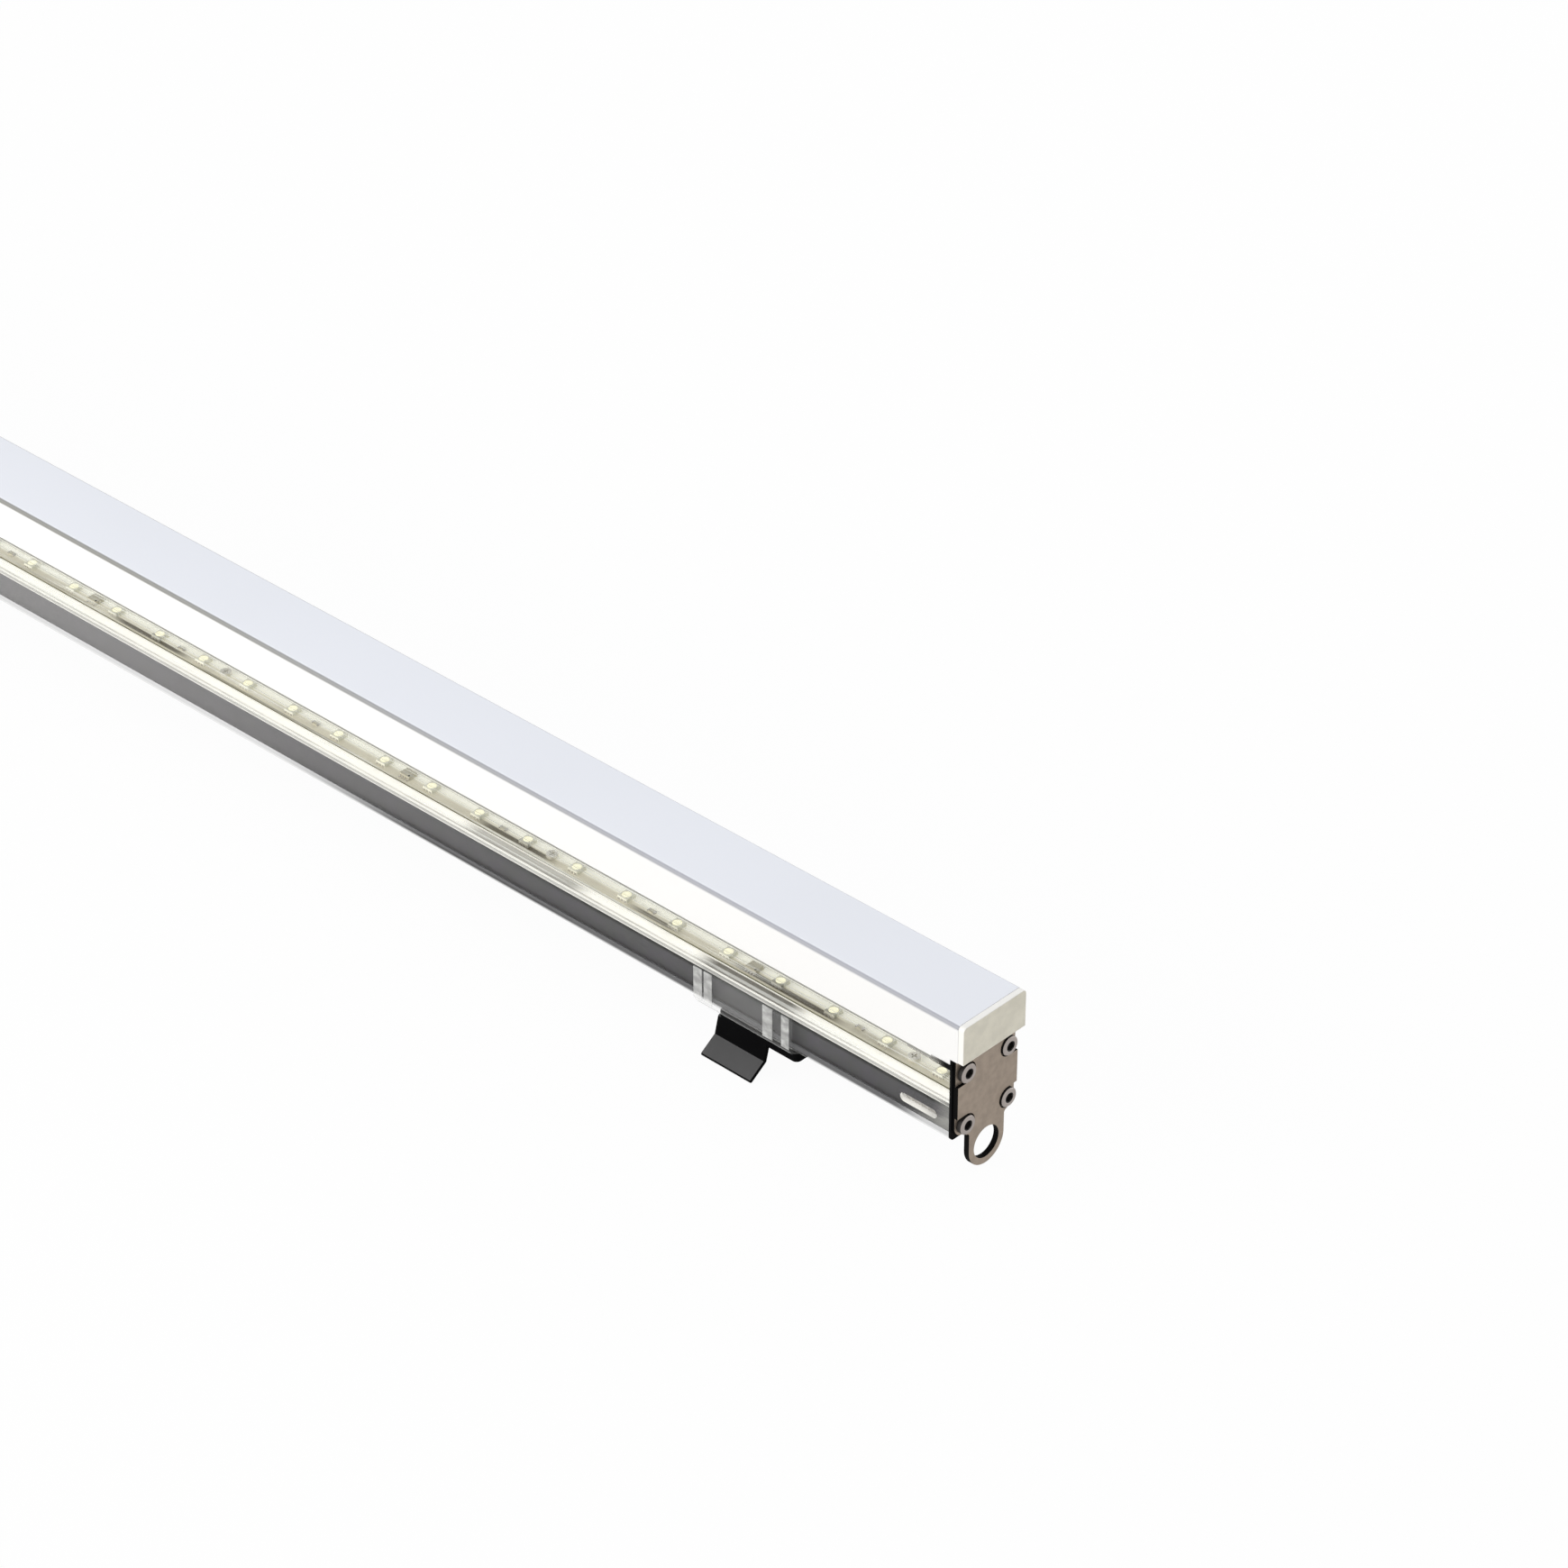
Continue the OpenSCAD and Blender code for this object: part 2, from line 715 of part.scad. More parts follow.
module spring_clip() {
    x0 = clip_base_shift - clip_base_len / 2;
    x1 = clip_base_shift + clip_base_len / 2;
    color([0.10, 0.10, 0.11]) difference() {
        union() {
            translate([0, 0, bar_level + clip_under]) linear_extrude(clip_base_t) {
                translate([x0, base_corner_r - clip_base_w / 2])
                    square([clip_base_len, clip_base_w - 2 * base_corner_r]);
                translate([x0 + base_corner_r, -clip_base_w / 2])
                    square([clip_base_len - 2 * base_corner_r, clip_base_w]);
                for (x = [x0 + base_corner_r, x1 - base_corner_r], side = [-1, 1])
                    translate([x, side * (clip_base_w / 2 - base_corner_r)]) circle(base_corner_r);
            }
            along_bar(x0, x0 + leg_len) mirror([1, 0]) leg_profile();
            along_bar(x1 - leg_len, x1) leg_profile();
        }
        at_rivets() translate([0, 0, clip_under - cut]) cylinder(d = rivet_d + 2 * fit, h = clip_base_t + 2 * cut);
    }
}

module clip_rivets() {
    color([0.62, 0.62, 0.62]) at_rivets() {
        rivet_sink(0);
        translate([0, 0, clip_under - merge]) cylinder(d = rivet_d, h = -slide_gap - rivet_sink - clip_under + 2 * merge);
        translate([0, 0, clip_under - rivet_head_h])
            cylinder(d1 = rivet_head_d - 2 * rivet_head_h, d2 = rivet_head_d, h = rivet_head_h);
    }
}

// Cable inlet, drawn on its own axis

module at_gland() {
    translate([gland_x, 0, bar_level]) children();
}

module gland_gasket() {
    color([0.08, 0.08, 0.08]) at_gland() translate([0, 0, -gland_gasket_t]) difference() {
        cylinder(d = gland_gasket_d, h = gland_gasket_t);
        translate([0, 0, -cut]) cylinder(d = gland_d + 2 * fit, h = gland_gasket_t + 2 * cut);
    }
}

module gland_body() {
    color([0.70, 0.70, 0.68]) at_gland() difference() {
        union() {
            translate([0, 0, gland_flange_under - gland_collar_len])
                cylinder(d = gland_d, h = gland_stem_up - gland_flange_under + gland_collar_len);
            translate([0, 0, gland_flange_under]) cylinder(r = hex_r(flange_af), h = flange_t, $fn = hex_sides);
        }
        translate([0, 0, gland_flange_under - gland_collar_len - cut])
            cylinder(d = seal_d + 2 * snap_gap, h = gland_seal_top - gland_flange_under + gland_collar_len + cut);
        translate([0, 0, gland_seal_top - merge]) cylinder(d = dome_mouth_d, h = gland_stem_up + gland_gasket_t + cut);
    }
}

module gland_locknut() {
    color([0.70, 0.70, 0.68]) at_gland() translate([0, 0, body_wall]) difference() {
        cylinder(r = hex_r(locknut_af), h = locknut_t, $fn = hex_sides);
        translate([0, 0, -cut]) cylinder(d = gland_d + 2 * fit, h = locknut_t + 2 * cut);
    }
}

module gland_seal() {
    color([0.10, 0.10, 0.10]) at_gland() translate([0, 0, gland_seal_foot]) difference() {
        cylinder(d = seal_d, h = gland_seal_top - gland_seal_foot);
        translate([0, 0, -cut]) cylinder(d = cable_d, h = gland_seal_top - gland_seal_foot + 2 * cut);
    }
}

module gland_nut() {
    r = dome_d / 2;
    color([0.70, 0.70, 0.68]) at_gland() translate([0, 0, dome_under]) difference() {
        intersection() {
            rotate_extrude() polygon([
                [0, 0],
                [r - dome_round, 0],
                [r, dome_round],
                [r + cut, dome_len],
                [0, dome_len]]);
            cylinder(r = hex_r(dome_d), h = dome_len, $fn = hex_sides);
        }
        translate([0, 0, dome_end_t]) cylinder(d = gland_d + 2 * fit, h = dome_len);
        translate([0, 0, -cut]) cylinder(d = dome_mouth_d, h = dome_len);
    }
}

clear_body();
opal_cover();
cover_seals();
inner_channel();
reflector_wings();
led_board();
led_packages();
led_phosphors();
driver_chips();
resistors();
board_screws();
supply_terminal();
supply_leads();
end_cap();  // end_cap_near
far_end() end_cap();  // end_cap_far
end_gasket();  // end_gasket_near
far_end() end_gasket();  // end_gasket_far
end_plate();  // end_plate_near
far_end() end_plate();  // end_plate_far
end_screws();  // end_screws_near
far_end() end_screws();  // end_screws_far
at_near_clip() clip_saddle();  // clip_saddle_near
at_far_clip() clip_saddle();  // clip_saddle_far
at_near_clip() spring_clip();  // spring_clip_near
at_far_clip() spring_clip();  // spring_clip_far
at_near_clip() clip_rivets();  // clip_rivets_near
at_far_clip() clip_rivets();  // clip_rivets_far
gland_gasket();
gland_body();
gland_locknut();
gland_seal();
gland_nut();
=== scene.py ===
# %% [markdown]
# # A linear wall washer light
#
# The lamp is a clear plastic bar, one metre long, with a milk-white cover on top. A dark aluminium
# channel inside carries a row of LEDs. Each end is closed by a cap, a gasket and a metal plate with
# an eyelet, and two clips slide along the bar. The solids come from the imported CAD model. This script
# gives them their looks: soft edges, small details and materials.

import math

import bmesh
import bpy
from mathutils import Matrix, Vector


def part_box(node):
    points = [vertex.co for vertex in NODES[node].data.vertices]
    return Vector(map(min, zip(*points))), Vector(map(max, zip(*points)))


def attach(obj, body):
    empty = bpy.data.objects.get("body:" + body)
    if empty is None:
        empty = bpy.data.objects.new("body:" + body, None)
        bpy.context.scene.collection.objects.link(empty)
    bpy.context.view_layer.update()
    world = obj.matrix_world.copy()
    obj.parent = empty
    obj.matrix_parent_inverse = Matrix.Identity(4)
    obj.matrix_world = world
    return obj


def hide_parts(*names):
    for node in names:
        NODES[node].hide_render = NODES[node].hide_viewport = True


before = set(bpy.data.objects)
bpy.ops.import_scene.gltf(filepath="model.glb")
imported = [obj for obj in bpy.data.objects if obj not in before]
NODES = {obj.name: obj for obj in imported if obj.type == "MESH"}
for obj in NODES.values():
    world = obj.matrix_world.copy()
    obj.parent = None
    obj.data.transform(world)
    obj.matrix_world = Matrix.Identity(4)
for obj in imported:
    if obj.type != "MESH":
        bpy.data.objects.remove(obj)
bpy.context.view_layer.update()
MM = 0.001


def new_object(name, data):
    made = bpy.data.objects.new(name, data)
    bpy.context.scene.collection.objects.link(made)
    return made


# %% [markdown]
# ## The camera
#
# It looks down on the near end from the right, a little less than two metres away, through a long
# lens. The three axes of the camera are worked out from its two angles, and its small roll is added.

# %% Camera
CAMERA_PLACE = Vector((1.3844, -1.0362, 1.0753))
CAMERA_AZIMUTH = math.radians(43.304)
CAMERA_ELEVATION = math.radians(34.231)
CAMERA_ROLL = math.radians(-0.0309)
CAMERA_NEAREST = 0.05
LENS_MM = 122.57
SENSOR_MM = 36


def add_camera():
    data = bpy.data.cameras.new("camera")
    data.lens = LENS_MM
    data.sensor_width = SENSOR_MM
    data.sensor_fit = "HORIZONTAL"
    data.clip_start = CAMERA_NEAREST
    camera = new_object("camera", data)
    flat = math.cos(CAMERA_ELEVATION)
    sine, cosine = math.sin(CAMERA_AZIMUTH), math.cos(CAMERA_AZIMUTH)
    back = Vector((sine * flat, -cosine * flat, math.sin(CAMERA_ELEVATION)))
    right = Vector((cosine, sine, 0))
    up = back.cross(right)
    c, s = math.cos(CAMERA_ROLL), math.sin(CAMERA_ROLL)
    axes = Matrix((c * right + s * up, c * up - s * right, back)).transposed()
    camera.matrix_world = Matrix.Translation(CAMERA_PLACE) @ axes.to_4x4()
    bpy.context.scene.camera = camera
    return camera


print("camera", add_camera().name, "lens", LENS_MM)

# %% [markdown]
# ## Writing shader maths as Python
#
# A material is a net of nodes. Wiring it by hand takes many lines, so a socket is wrapped in a small
# class: adding or multiplying two wrapped sockets adds the Math node and its links. Colours don't go
# through Math nodes, which would turn them grey, but through Mix nodes.

# %% The socket class
class Value:
    """One output socket of a node tree, with the operators of numbers."""

    def __init__(self, tree, socket):
        self.tree = tree
        self.socket = socket

    def math(self, operation, *values):
        return self.tree.node("ShaderNodeMath", {"operation": operation}, dict(enumerate((self,) + values)))

    def __add__(self, other):
        return self.math("ADD", other)

    def __mul__(self, other):
        return self.math("MULTIPLY", other)

    def __sub__(self, other):
        return self.math("SUBTRACT", other)

    def __truediv__(self, other):
        return self.math("DIVIDE", other)

    def __pow__(self, other):
        return self.math("POWER", other)

    def __rsub__(self, other):
        return self.tree.node("ShaderNodeMath", {"operation": "SUBTRACT"}, {0: other, 1: self})

    def __gt__(self, other):
        return self.math("GREATER_THAN", other)

    def __lt__(self, other):
        return self.math("LESS_THAN", other)

    def __abs__(self):
        return self.math("ABSOLUTE")

    def larger(self, other):
        return self.math("MAXIMUM", other)

    def clamped(self):
        return self.tree.node("ShaderNodeClamp", {}, {"Value": self})

    def step(self, low, high):
        """0 below low, 1 above high and smooth between them."""
        settings = {"interpolation_type": "SMOOTHSTEP"}
        return self.tree.node("ShaderNodeMapRange", settings, {"Value": self, "From Min": low, "From Max": high})

    __radd__ = __add__
    __rmul__ = __mul__


class Tree:
    """A node tree in the making."""

    def __init__(self, node_tree):
        self.nodes = node_tree.nodes
        self.links = node_tree.links
        self.nodes.clear()

    def wired(self, kind, settings, inputs):
        new = self.nodes.new(kind)
        for name, setting in settings.items():
            setattr(new, name, setting)
        for key, value in inputs.items():
            if isinstance(value, Value):
                self.links.new(value.socket, new.inputs[key])
            elif hasattr(value, "__len__") and len(value) == 3 and new.inputs[key].type == "RGBA":
                new.inputs[key].default_value = (*value, 1)
            else:
                new.inputs[key].default_value = value
        return new

    def node(self, kind, settings, inputs, output=0):
        """Adds a node and gives one of its outputs, or None where it has none."""
        new = self.wired(kind, settings, inputs)
        return Value(self, new.outputs[output]) if new.outputs else None

    def mesh_and_top(self, kind, inputs):
        """Adds a node that makes a mesh, and gives the mesh and which of its faces are the top."""
        new = self.wired(kind, {}, inputs)
        return Value(self, new.outputs["Mesh"]), Value(self, new.outputs["Top"])

    def mix(self, factor, a, b):
        """The colour a where factor is 0, and b where it is 1."""
        return self.node("ShaderNodeMix", {"data_type": "RGBA"}, {0: factor, 6: a, 7: b}, output=2)

    def place(self):
        """The point on the object, in metres, in the object's own frame."""
        return self.node("ShaderNodeTexCoord", {}, {}, output="Object")

    def axis(self, vector, name):
        return self.node("ShaderNodeSeparateXYZ", {}, {0: vector}, output=name)

    def normal(self, name):
        """One axis of the direction that the surface looks in."""
        return self.axis(self.node("ShaderNodeNewGeometry", {}, {}, output="Normal"), name)

    def scaled(self, vector, scale):
        return self.node("ShaderNodeVectorMath", {"operation": "MULTIPLY"}, {0: vector, 1: scale})

    def noise(self, vector, scale, detail=3.0):
        inputs = {"Vector": vector, "Scale": scale, "Detail": detail, "Roughness": 0.55}
        return self.node("ShaderNodeTexNoise", {}, inputs)

    def grain(self, vector, size_mm, detail=3.0):
        """Noise with lumps of about this size."""
        return self.noise(vector, 1 / (size_mm * MM), detail)

    def bump(self, height, strength, distance):
        return self.node("ShaderNodeBump", {}, {"Height": height, "Strength": strength, "Distance": distance})

    def facing(self):
        """0 where a surface faces the view, and 1 where it is seen edge on."""
        return self.node("ShaderNodeLayerWeight", {}, {"Blend": 0.5}, output="Facing")


def linear(red, green, blue):
    """A colour as a picture shows it, from 0 to 255, as the shader's linear colour."""
    def channel(c):
        c = c / 255
        return c / 12.92 if c <= 0.04045 else ((c + 0.055) / 1.055) ** 2.4
    return (channel(red), channel(green), channel(blue))


print("white is", linear(255, 255, 255))

# %% [markdown]
# ## Studio: floor, white surroundings and lamps
#
# The picture has a plain white ground. More lamp light would make it white, but it would bleach the
# lamp too. So the ground glows white only for rays that come from the camera or from a mirror-like
# surface, and for all other rays it is a plain pale floor that still takes the soft shadow.

# %% World and floor
WHITE = (1.0, 1.0, 1.0)
SKY_LEVEL = 0.40
FLOOR_GLOW = 0.96
FLOOR_PAINT = (0.88, 0.88, 0.88)
FLOOR_HALF = 12
FLOOR_LEVEL = -0.3 * MM


def seen_directly(tree):
    """1 for rays from the camera, from glossy and from clear surfaces, and 0 for others."""
    def ray(name):
        return tree.node("ShaderNodeLightPath", {}, {}, output=name)
    return ray("Is Camera Ray").larger(ray("Is Glossy Ray")).larger(ray("Is Transmission Ray"))


def add_world():
    world = bpy.data.worlds.new("white_room")
    world.use_nodes = True
    bpy.context.scene.world = world
    tree = Tree(world.node_tree)
    level = SKY_LEVEL + seen_directly(tree) * (1 - SKY_LEVEL)
    sky = tree.node("ShaderNodeBackground", {}, {"Color": WHITE, "Strength": level})
    tree.node("ShaderNodeOutputWorld", {}, {"Surface": sky})


def add_floor():
    data = bpy.data.meshes.new("floor")
    corners = ((-1, -1), (1, -1), (1, 1), (-1, 1))
    data.from_pydata([(x * FLOOR_HALF, y * FLOOR_HALF, FLOOR_LEVEL) for x, y in corners], [], [(0, 1, 2, 3)])
    floor = new_object("floor", data)
    paint = bpy.data.materials.new("floor_paint")
    paint.use_nodes = True
    tree = Tree(paint.node_tree)
    matt = tree.node("ShaderNodeBsdfDiffuse", {}, {"Color": FLOOR_PAINT})
    glow = tree.node("ShaderNodeEmission", {}, {"Color": WHITE, "Strength": 1.0})
    both = tree.node("ShaderNodeMixShader", {}, {0: seen_directly(tree) * FLOOR_GLOW, 1: matt, 2: glow})
    tree.node("ShaderNodeOutputMaterial", {}, {"Surface": both})
    data.materials.append(paint)


add_world()
add_floor()
print("floor glow", FLOOR_GLOW, "sky level", SKY_LEVEL)

# %% Lamps
AIM = Vector((0.25, 0, 0.03))
LAMPS = {
    # name: place, size, power, colour
    "key_from_the_left": ((-0.55, -1.9, 0.80), (2.4, 1.2), 39, (1.0, 0.98, 0.94)),
    "soft_top": ((0.1, 0.1, 1.9), (2.2, 1.2), 11, (0.95, 0.96, 1.0)),
    "end_fill": ((2.3, 0.2, 0.6), (1.0, 1.0), 1.5, (1.0, 0.97, 0.93)),
    "back_fill": ((0.2, 1.9, 0.8), (2.2, 1.0), 12, (0.97, 0.98, 1.0)),
}


def add_lamp(name, place, size, power, colour):
    data = bpy.data.lights.new(name, "AREA")
    data.shape = "RECTANGLE"
    data.size, data.size_y = size
    data.energy = power
    data.color = colour
    lamp = new_object(name, data)
    lamp.location = place
    lamp.rotation_euler = (AIM - Vector(place)).to_track_quat("-Z", "Y").to_euler()


for lamp_name, facts in LAMPS.items():
    add_lamp(lamp_name, *facts)
bpy.context.scene.view_settings.view_transform = "Standard"
print(len(LAMPS), "lamps")

# %% [markdown]
# ## Materials
#
# Every finish starts from the same shader. What varies over a surface, such as a slightly cloudy
# colour or the lines that an extrusion die leaves, is worked out from the place on the object.

# %% Material helpers
STREAK_SOFT_END = 6 * MM
STREAK_SOFT_SIDE = 0.35 * MM


def new_material(name):
    material = bpy.data.materials.new(name)
    material.use_nodes = True
    return material, Tree(material.node_tree)


def finish_with(tree, **inputs):
    """Adds the surface shader and the output. Underscores stand for the spaces in socket names."""
    named = {key.replace("_", " "): value for key, value in inputs.items()}
    surface = tree.node("ShaderNodeBsdfPrincipled", {}, named)
    tree.node("ShaderNodeOutputMaterial", {}, {"Surface": surface})


def either_side(colour, spread):
    """A darker and a lighter colour, for instance 3 % each way for a spread of 0.03."""
    return tuple(c * (1 - spread) for c in colour), tuple(min(1.0, c * (1 + spread)) for c in colour)


def cloudy(tree, colour, spread, scale):
    """A colour that is a little lighter here and darker there."""
    return tree.mix(tree.noise(tree.place(), scale).step(0.3, 0.7), *either_side(colour, spread))


def die_lines(tree, spacing_mm, strength, depth_mm):
    """Fine lines along the bar, as an extrusion die leaves them, that vary round the section."""
    across = tree.scaled(tree.place(), (0.02, 1.0, 1.0))
    return tree.bump(tree.grain(across, spacing_mm, detail=2.0), strength, depth_mm * MM)


def between(value, low, high, soft):
    """1 between two limits and 0 outside them, with a soft step at each."""
    return value.step(low - soft, low + soft) * (1 - value.step(high - soft, high + soft))


def streaks_at(tree, rows):
    """Long soft streaks. A row says, in mm, where its streak starts and ends, counted from the
    middle of the bar, then its two edges across the bar, and last its strength."""
    place = tree.place()
    along, across = abs(tree.axis(place, "X")), tree.axis(place, "Y")
    total = 0
    for start, end, low, high, strength in rows:
        streak = between(along, start * MM, end * MM, STREAK_SOFT_END)
        total = streak * between(across, low * MM, high * MM, STREAK_SOFT_SIDE) * strength + total
    return total.clamped()


print("helpers ready")

# %% [markdown]
# ### Clear plastics
#
# Real clear plastic lets light through face on and mirrors the room edge on. Alpha does the same
# here: low where the surface faces the view and high at grazing angles. The export keeps alpha, while
# it would lose the bending of light, and the pieces inside stay where the CAD has them.
#
# What the bending does in the photo is drawn on the clear wall instead: pale runs high up, and a grey
# strip low down that is nearly black for a stretch.

# %% Clear plastics
GROUND_TO_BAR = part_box("clear_body")[0].z
WALL_FACE = 14.9 * MM
RIB_FACE = 16.55 * MM
CLEAR_IOR = 1.49
EDGE_ALPHA = 0.9


def wall_smears(tree, streaks, colour, alpha):
    """The painted pale runs and grey strip of the outer walls, which stand for the bending of light and don't depend
    on the streaks.
    """
    place = tree.place()
    x, height = tree.axis(place, "X"), tree.axis(place, "Z") - GROUND_TO_BAR
    outside = abs(tree.axis(place, "Y")) > WALL_FACE
    runs = tree.grain(tree.scaled(place, (0.014, 0.0, 1.0)), 1.3, detail=2.0).step(0.52, 0.66)
    alpha = alpha + outside * height.step(13.0 * MM, 14.6 * MM) * runs * 0.45
    # the strip grows stronger towards the near end, and is weaker right at the plates
    strip = outside * between(height, 1.4 * MM, 3.8 * MM, 0.6 * MM) * (0.22 + x.step(0.16, 0.26) * 0.73)
    strip = strip * (1 - abs(x).step(0.470, 0.485) * 0.6)
    nearly_black = between(x, 0.215, 0.320, 0.02) * (1 - height.step(1.9 * MM, 2.9 * MM))
    strip_colour = tree.mix(nearly_black, linear(80, 80, 82), linear(24, 24, 24))
    return tree.mix(strip.step(0.02, 0.12), colour, strip_colour), alpha + strip


def pale_ribs(tree, streaks, colour, alpha):
    """The ribs of a saddle stand out from its face and catch the light."""
    ribs = abs(tree.axis(tree.place(), "Y")) > RIB_FACE
    return colour, alpha + ribs * (0.30 + streaks * 0.30)


def clear_plastic(name, tint, face_alpha, edge_power, spacing_mm, shine, extras):
    """extras adds what only this piece shows to its colour and alpha."""
    material, tree = new_material(name)
    streaks = tree.grain(tree.scaled(tree.place(), (0.6, 1.0, 1.0)), spacing_mm).step(0.35, 0.75)
    alpha = face_alpha * (0.7 + streaks * 0.6) + tree.facing() ** edge_power * EDGE_ALPHA
    colour, alpha = extras(tree, streaks, cloudy(tree, tint, 0.03, 60.0), alpha)
    finish_with(tree, Base_Color=colour, Roughness=0.06 + streaks * 0.06, Alpha=alpha.clamped(),
                Normal=die_lines(tree, spacing_mm, 0.12, 0.05), IOR=CLEAR_IOR, Specular_IOR_Level=shine)
    return material


CLEAR = clear_plastic("clear_body_plastic", linear(226, 228, 222), 0.012, 5.0, 1.6, 0.4, wall_smears)
SADDLE = clear_plastic("saddle_plastic", linear(232, 233, 232), 0.02, 4.0, 2.4, 0.1, pale_ribs)
print(CLEAR.name, SADDLE.name)

# %% [markdown]
# ### Opal, white and ivory plastics
#
# The cover has a thin grey line along its upper edges, which is paler and bluer towards the near
# end. The LED board, the LEDs and the white strips carry olive streaks. They stand for what the clear
# wall does to the dark pieces behind it, and lie where the photo shows them.

# %% Opal, white and ivory plastics
COVER_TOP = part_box("opal_cover")[1].z
BOARD_STREAK = linear(58, 48, 16)
WING_STREAK = linear(50, 42, 16)
BOARD_STREAKS = [
    (388, 433.5, -3.2, -0.9, 1.0), (340, 360, -3.1, -1.2, 0.8), (266, 300, -3.2, -1.0, 0.92),
    (74, 111, -3.2, -1.3, 0.95), (123, 202, -4.4, -3.3, 0.55), (20, 60, -3.6, -2.6, 0.35),
    (438, 464, -3.0, 0.6, 0.20),
]
WING_STREAKS = [(378, 421, -9.9, -4.8, 0.95), (265, 320, -9.8, -4.8, 0.62)]
WING_GLOW = 0.50


def opal_plastic():
    """The long upper edges, and the sides just below them, carry a grey line of painted shade, and the sides are
    painted neutral white beside the lavender top, for the light that falls on them.
    """
    material, tree = new_material("opal_cover_plastic")
    up, side = tree.normal("Z"), abs(tree.normal("Y")).step(0.5, 0.9)
    along = tree.axis(tree.place(), "X").step(0.08, 0.42)
    drop = COVER_TOP - tree.axis(tree.place(), "Z")
    # painted shade: a grey line on the rounded upper edges and just below them on the sides
    on_round = up.step(0.08, 0.40) * (1 - up.step(0.80, 0.98))
    below_it = side * (1 - drop.step(1.2 * MM, 2.0 * MM)) * (1.0 - along * 0.4)
    # painted light: the sides are painted neutral white beside the lavender top, for the light that falls on them
    colour = tree.mix(side, cloudy(tree, linear(233, 236, 243), 0.008, 9.0), linear(238, 238, 238))
    line = tree.mix(along, linear(98, 98, 92), linear(142, 144, 155))
    finish_with(tree, Base_Color=tree.mix((on_round + below_it).clamped() * 0.85, colour, line),
                Roughness=0.42, Normal=die_lines(tree, 2.2, 0.10, 0.04))
    return material


def moulded_plastic(name, colour, roughness, spread=0.03, scale=70.0, grain_mm=0.35, grain=0.12, shine=0.5,
                    lit_top_colour=None, lit_side_colour=None, streaks=()):
    """The top colour is painted on what looks up, lighter for the light that falls on it, and the side colour on all
    but the ends, for the light on the sides.
    """
    material, tree = new_material(name)
    wear = tree.grain(tree.place(), 9).step(0.3, 0.75)
    shade = cloudy(tree, colour, spread, scale)
    if lit_top_colour:
        # painted light: what looks up is painted lighter, for the light that falls on it
        shade = tree.mix(tree.normal("Z").step(0.35, 0.75), shade, cloudy(tree, lit_top_colour, spread, scale))
    if lit_side_colour:
        # painted light: the sides are painted a different colour from the ends, for the light on them
        shade = tree.mix(1 - abs(tree.normal("X")).step(0.55, 0.95), shade, lit_side_colour)
    if streaks:
        shade = tree.mix(streaks_at(tree, streaks) * 0.55, shade, BOARD_STREAK)
    finish_with(tree, Base_Color=shade, Roughness=roughness + wear * 0.12, Specular_IOR_Level=shine,
                Normal=tree.bump(tree.grain(tree.place(), grain_mm), grain, 0.02 * MM))
    return material


def white_strip():
    """Glossy white with a fine grey line of painted shade along its fold, lit a little by the light that the cover
    lets in.
    """
    material, tree = new_material("white_strip_plastic")
    place = tree.place()
    y = abs(tree.axis(place, "Y"))
    # painted shade: a grey line along the fold of the strip
    fold_shade = y.step(8.6 * MM, 9.0 * MM) * (1 - y.step(9.7 * MM, 10.2 * MM))
    waves = tree.grain(tree.scaled(place, (0.3, 1.0, 1.0)), 5).step(0.3, 0.7)
    white = cloudy(tree, linear(252, 250, 240), 0.02, 60.0)
    white = tree.mix(fold_shade * (0.45 + waves * 0.5), white, linear(178, 176, 168))
    white = tree.mix(streaks_at(tree, WING_STREAKS), white, WING_STREAK)
    finish_with(tree, Base_Color=white, Roughness=0.28, Emission_Color=white, Emission_Strength=WING_GLOW)
    return material


OPAL = opal_plastic()
WING = white_strip()
# the cap's sides are painted whiter than its end face, for the light that falls on them
IVORY = moulded_plastic("ivory_cap_plastic", linear(238, 233, 215), 0.42, 0.06, 160.0,
                        lit_side_colour=linear(243, 242, 238))
SEAL = moulded_plastic("grey_seal_rubber", linear(140, 140, 134), 0.6)
print(OPAL.name, WING.name, IVORY.name, SEAL.name)

# %% [markdown]
# ### Rubber, nylon and small plastics
#
# The end gaskets have a lip that lies along the seam. The clips are dull black nylon, painted lighter on what looks
# up for the light that falls on it. The rest are the small plastic parts on the board.

# %% Rubber, nylon and small plastics
LIP_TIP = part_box("end_gasket_near")[0].x
LIP_ROOT = LIP_TIP + 6.5 * MM


def gasket_rubber():
    """Black, and painted grey and see-through towards the tip of the lip along the seam, as a shadow in the clear
    body that fades out.
    """
    material, tree = new_material("black_end_gasket_rubber")
    place = tree.place()
    # painted shade: the lip fades from black to grey and clear towards its tip
    tip = 1 - abs(tree.axis(place, "X")).step(LIP_TIP, LIP_ROOT)
    grain = tree.grain(place, 0.35)
    colour = tree.mix(tip, linear(8, 8, 9), linear(150, 149, 144))
    finish_with(tree, Base_Color=tree.mix(grain * 0.2, colour, linear(20, 20, 21)), Roughness=0.62 + grain * 0.1,
                Alpha=1 - tip * 0.75, Normal=tree.bump(grain, 0.3, 0.02 * MM), Specular_IOR_Level=0.05)
    return material


END_GASKET = gasket_rubber()
GASKET = moulded_plastic("black_gasket_rubber", linear(8, 8, 9), 0.7, grain=0.3, shine=0.03)
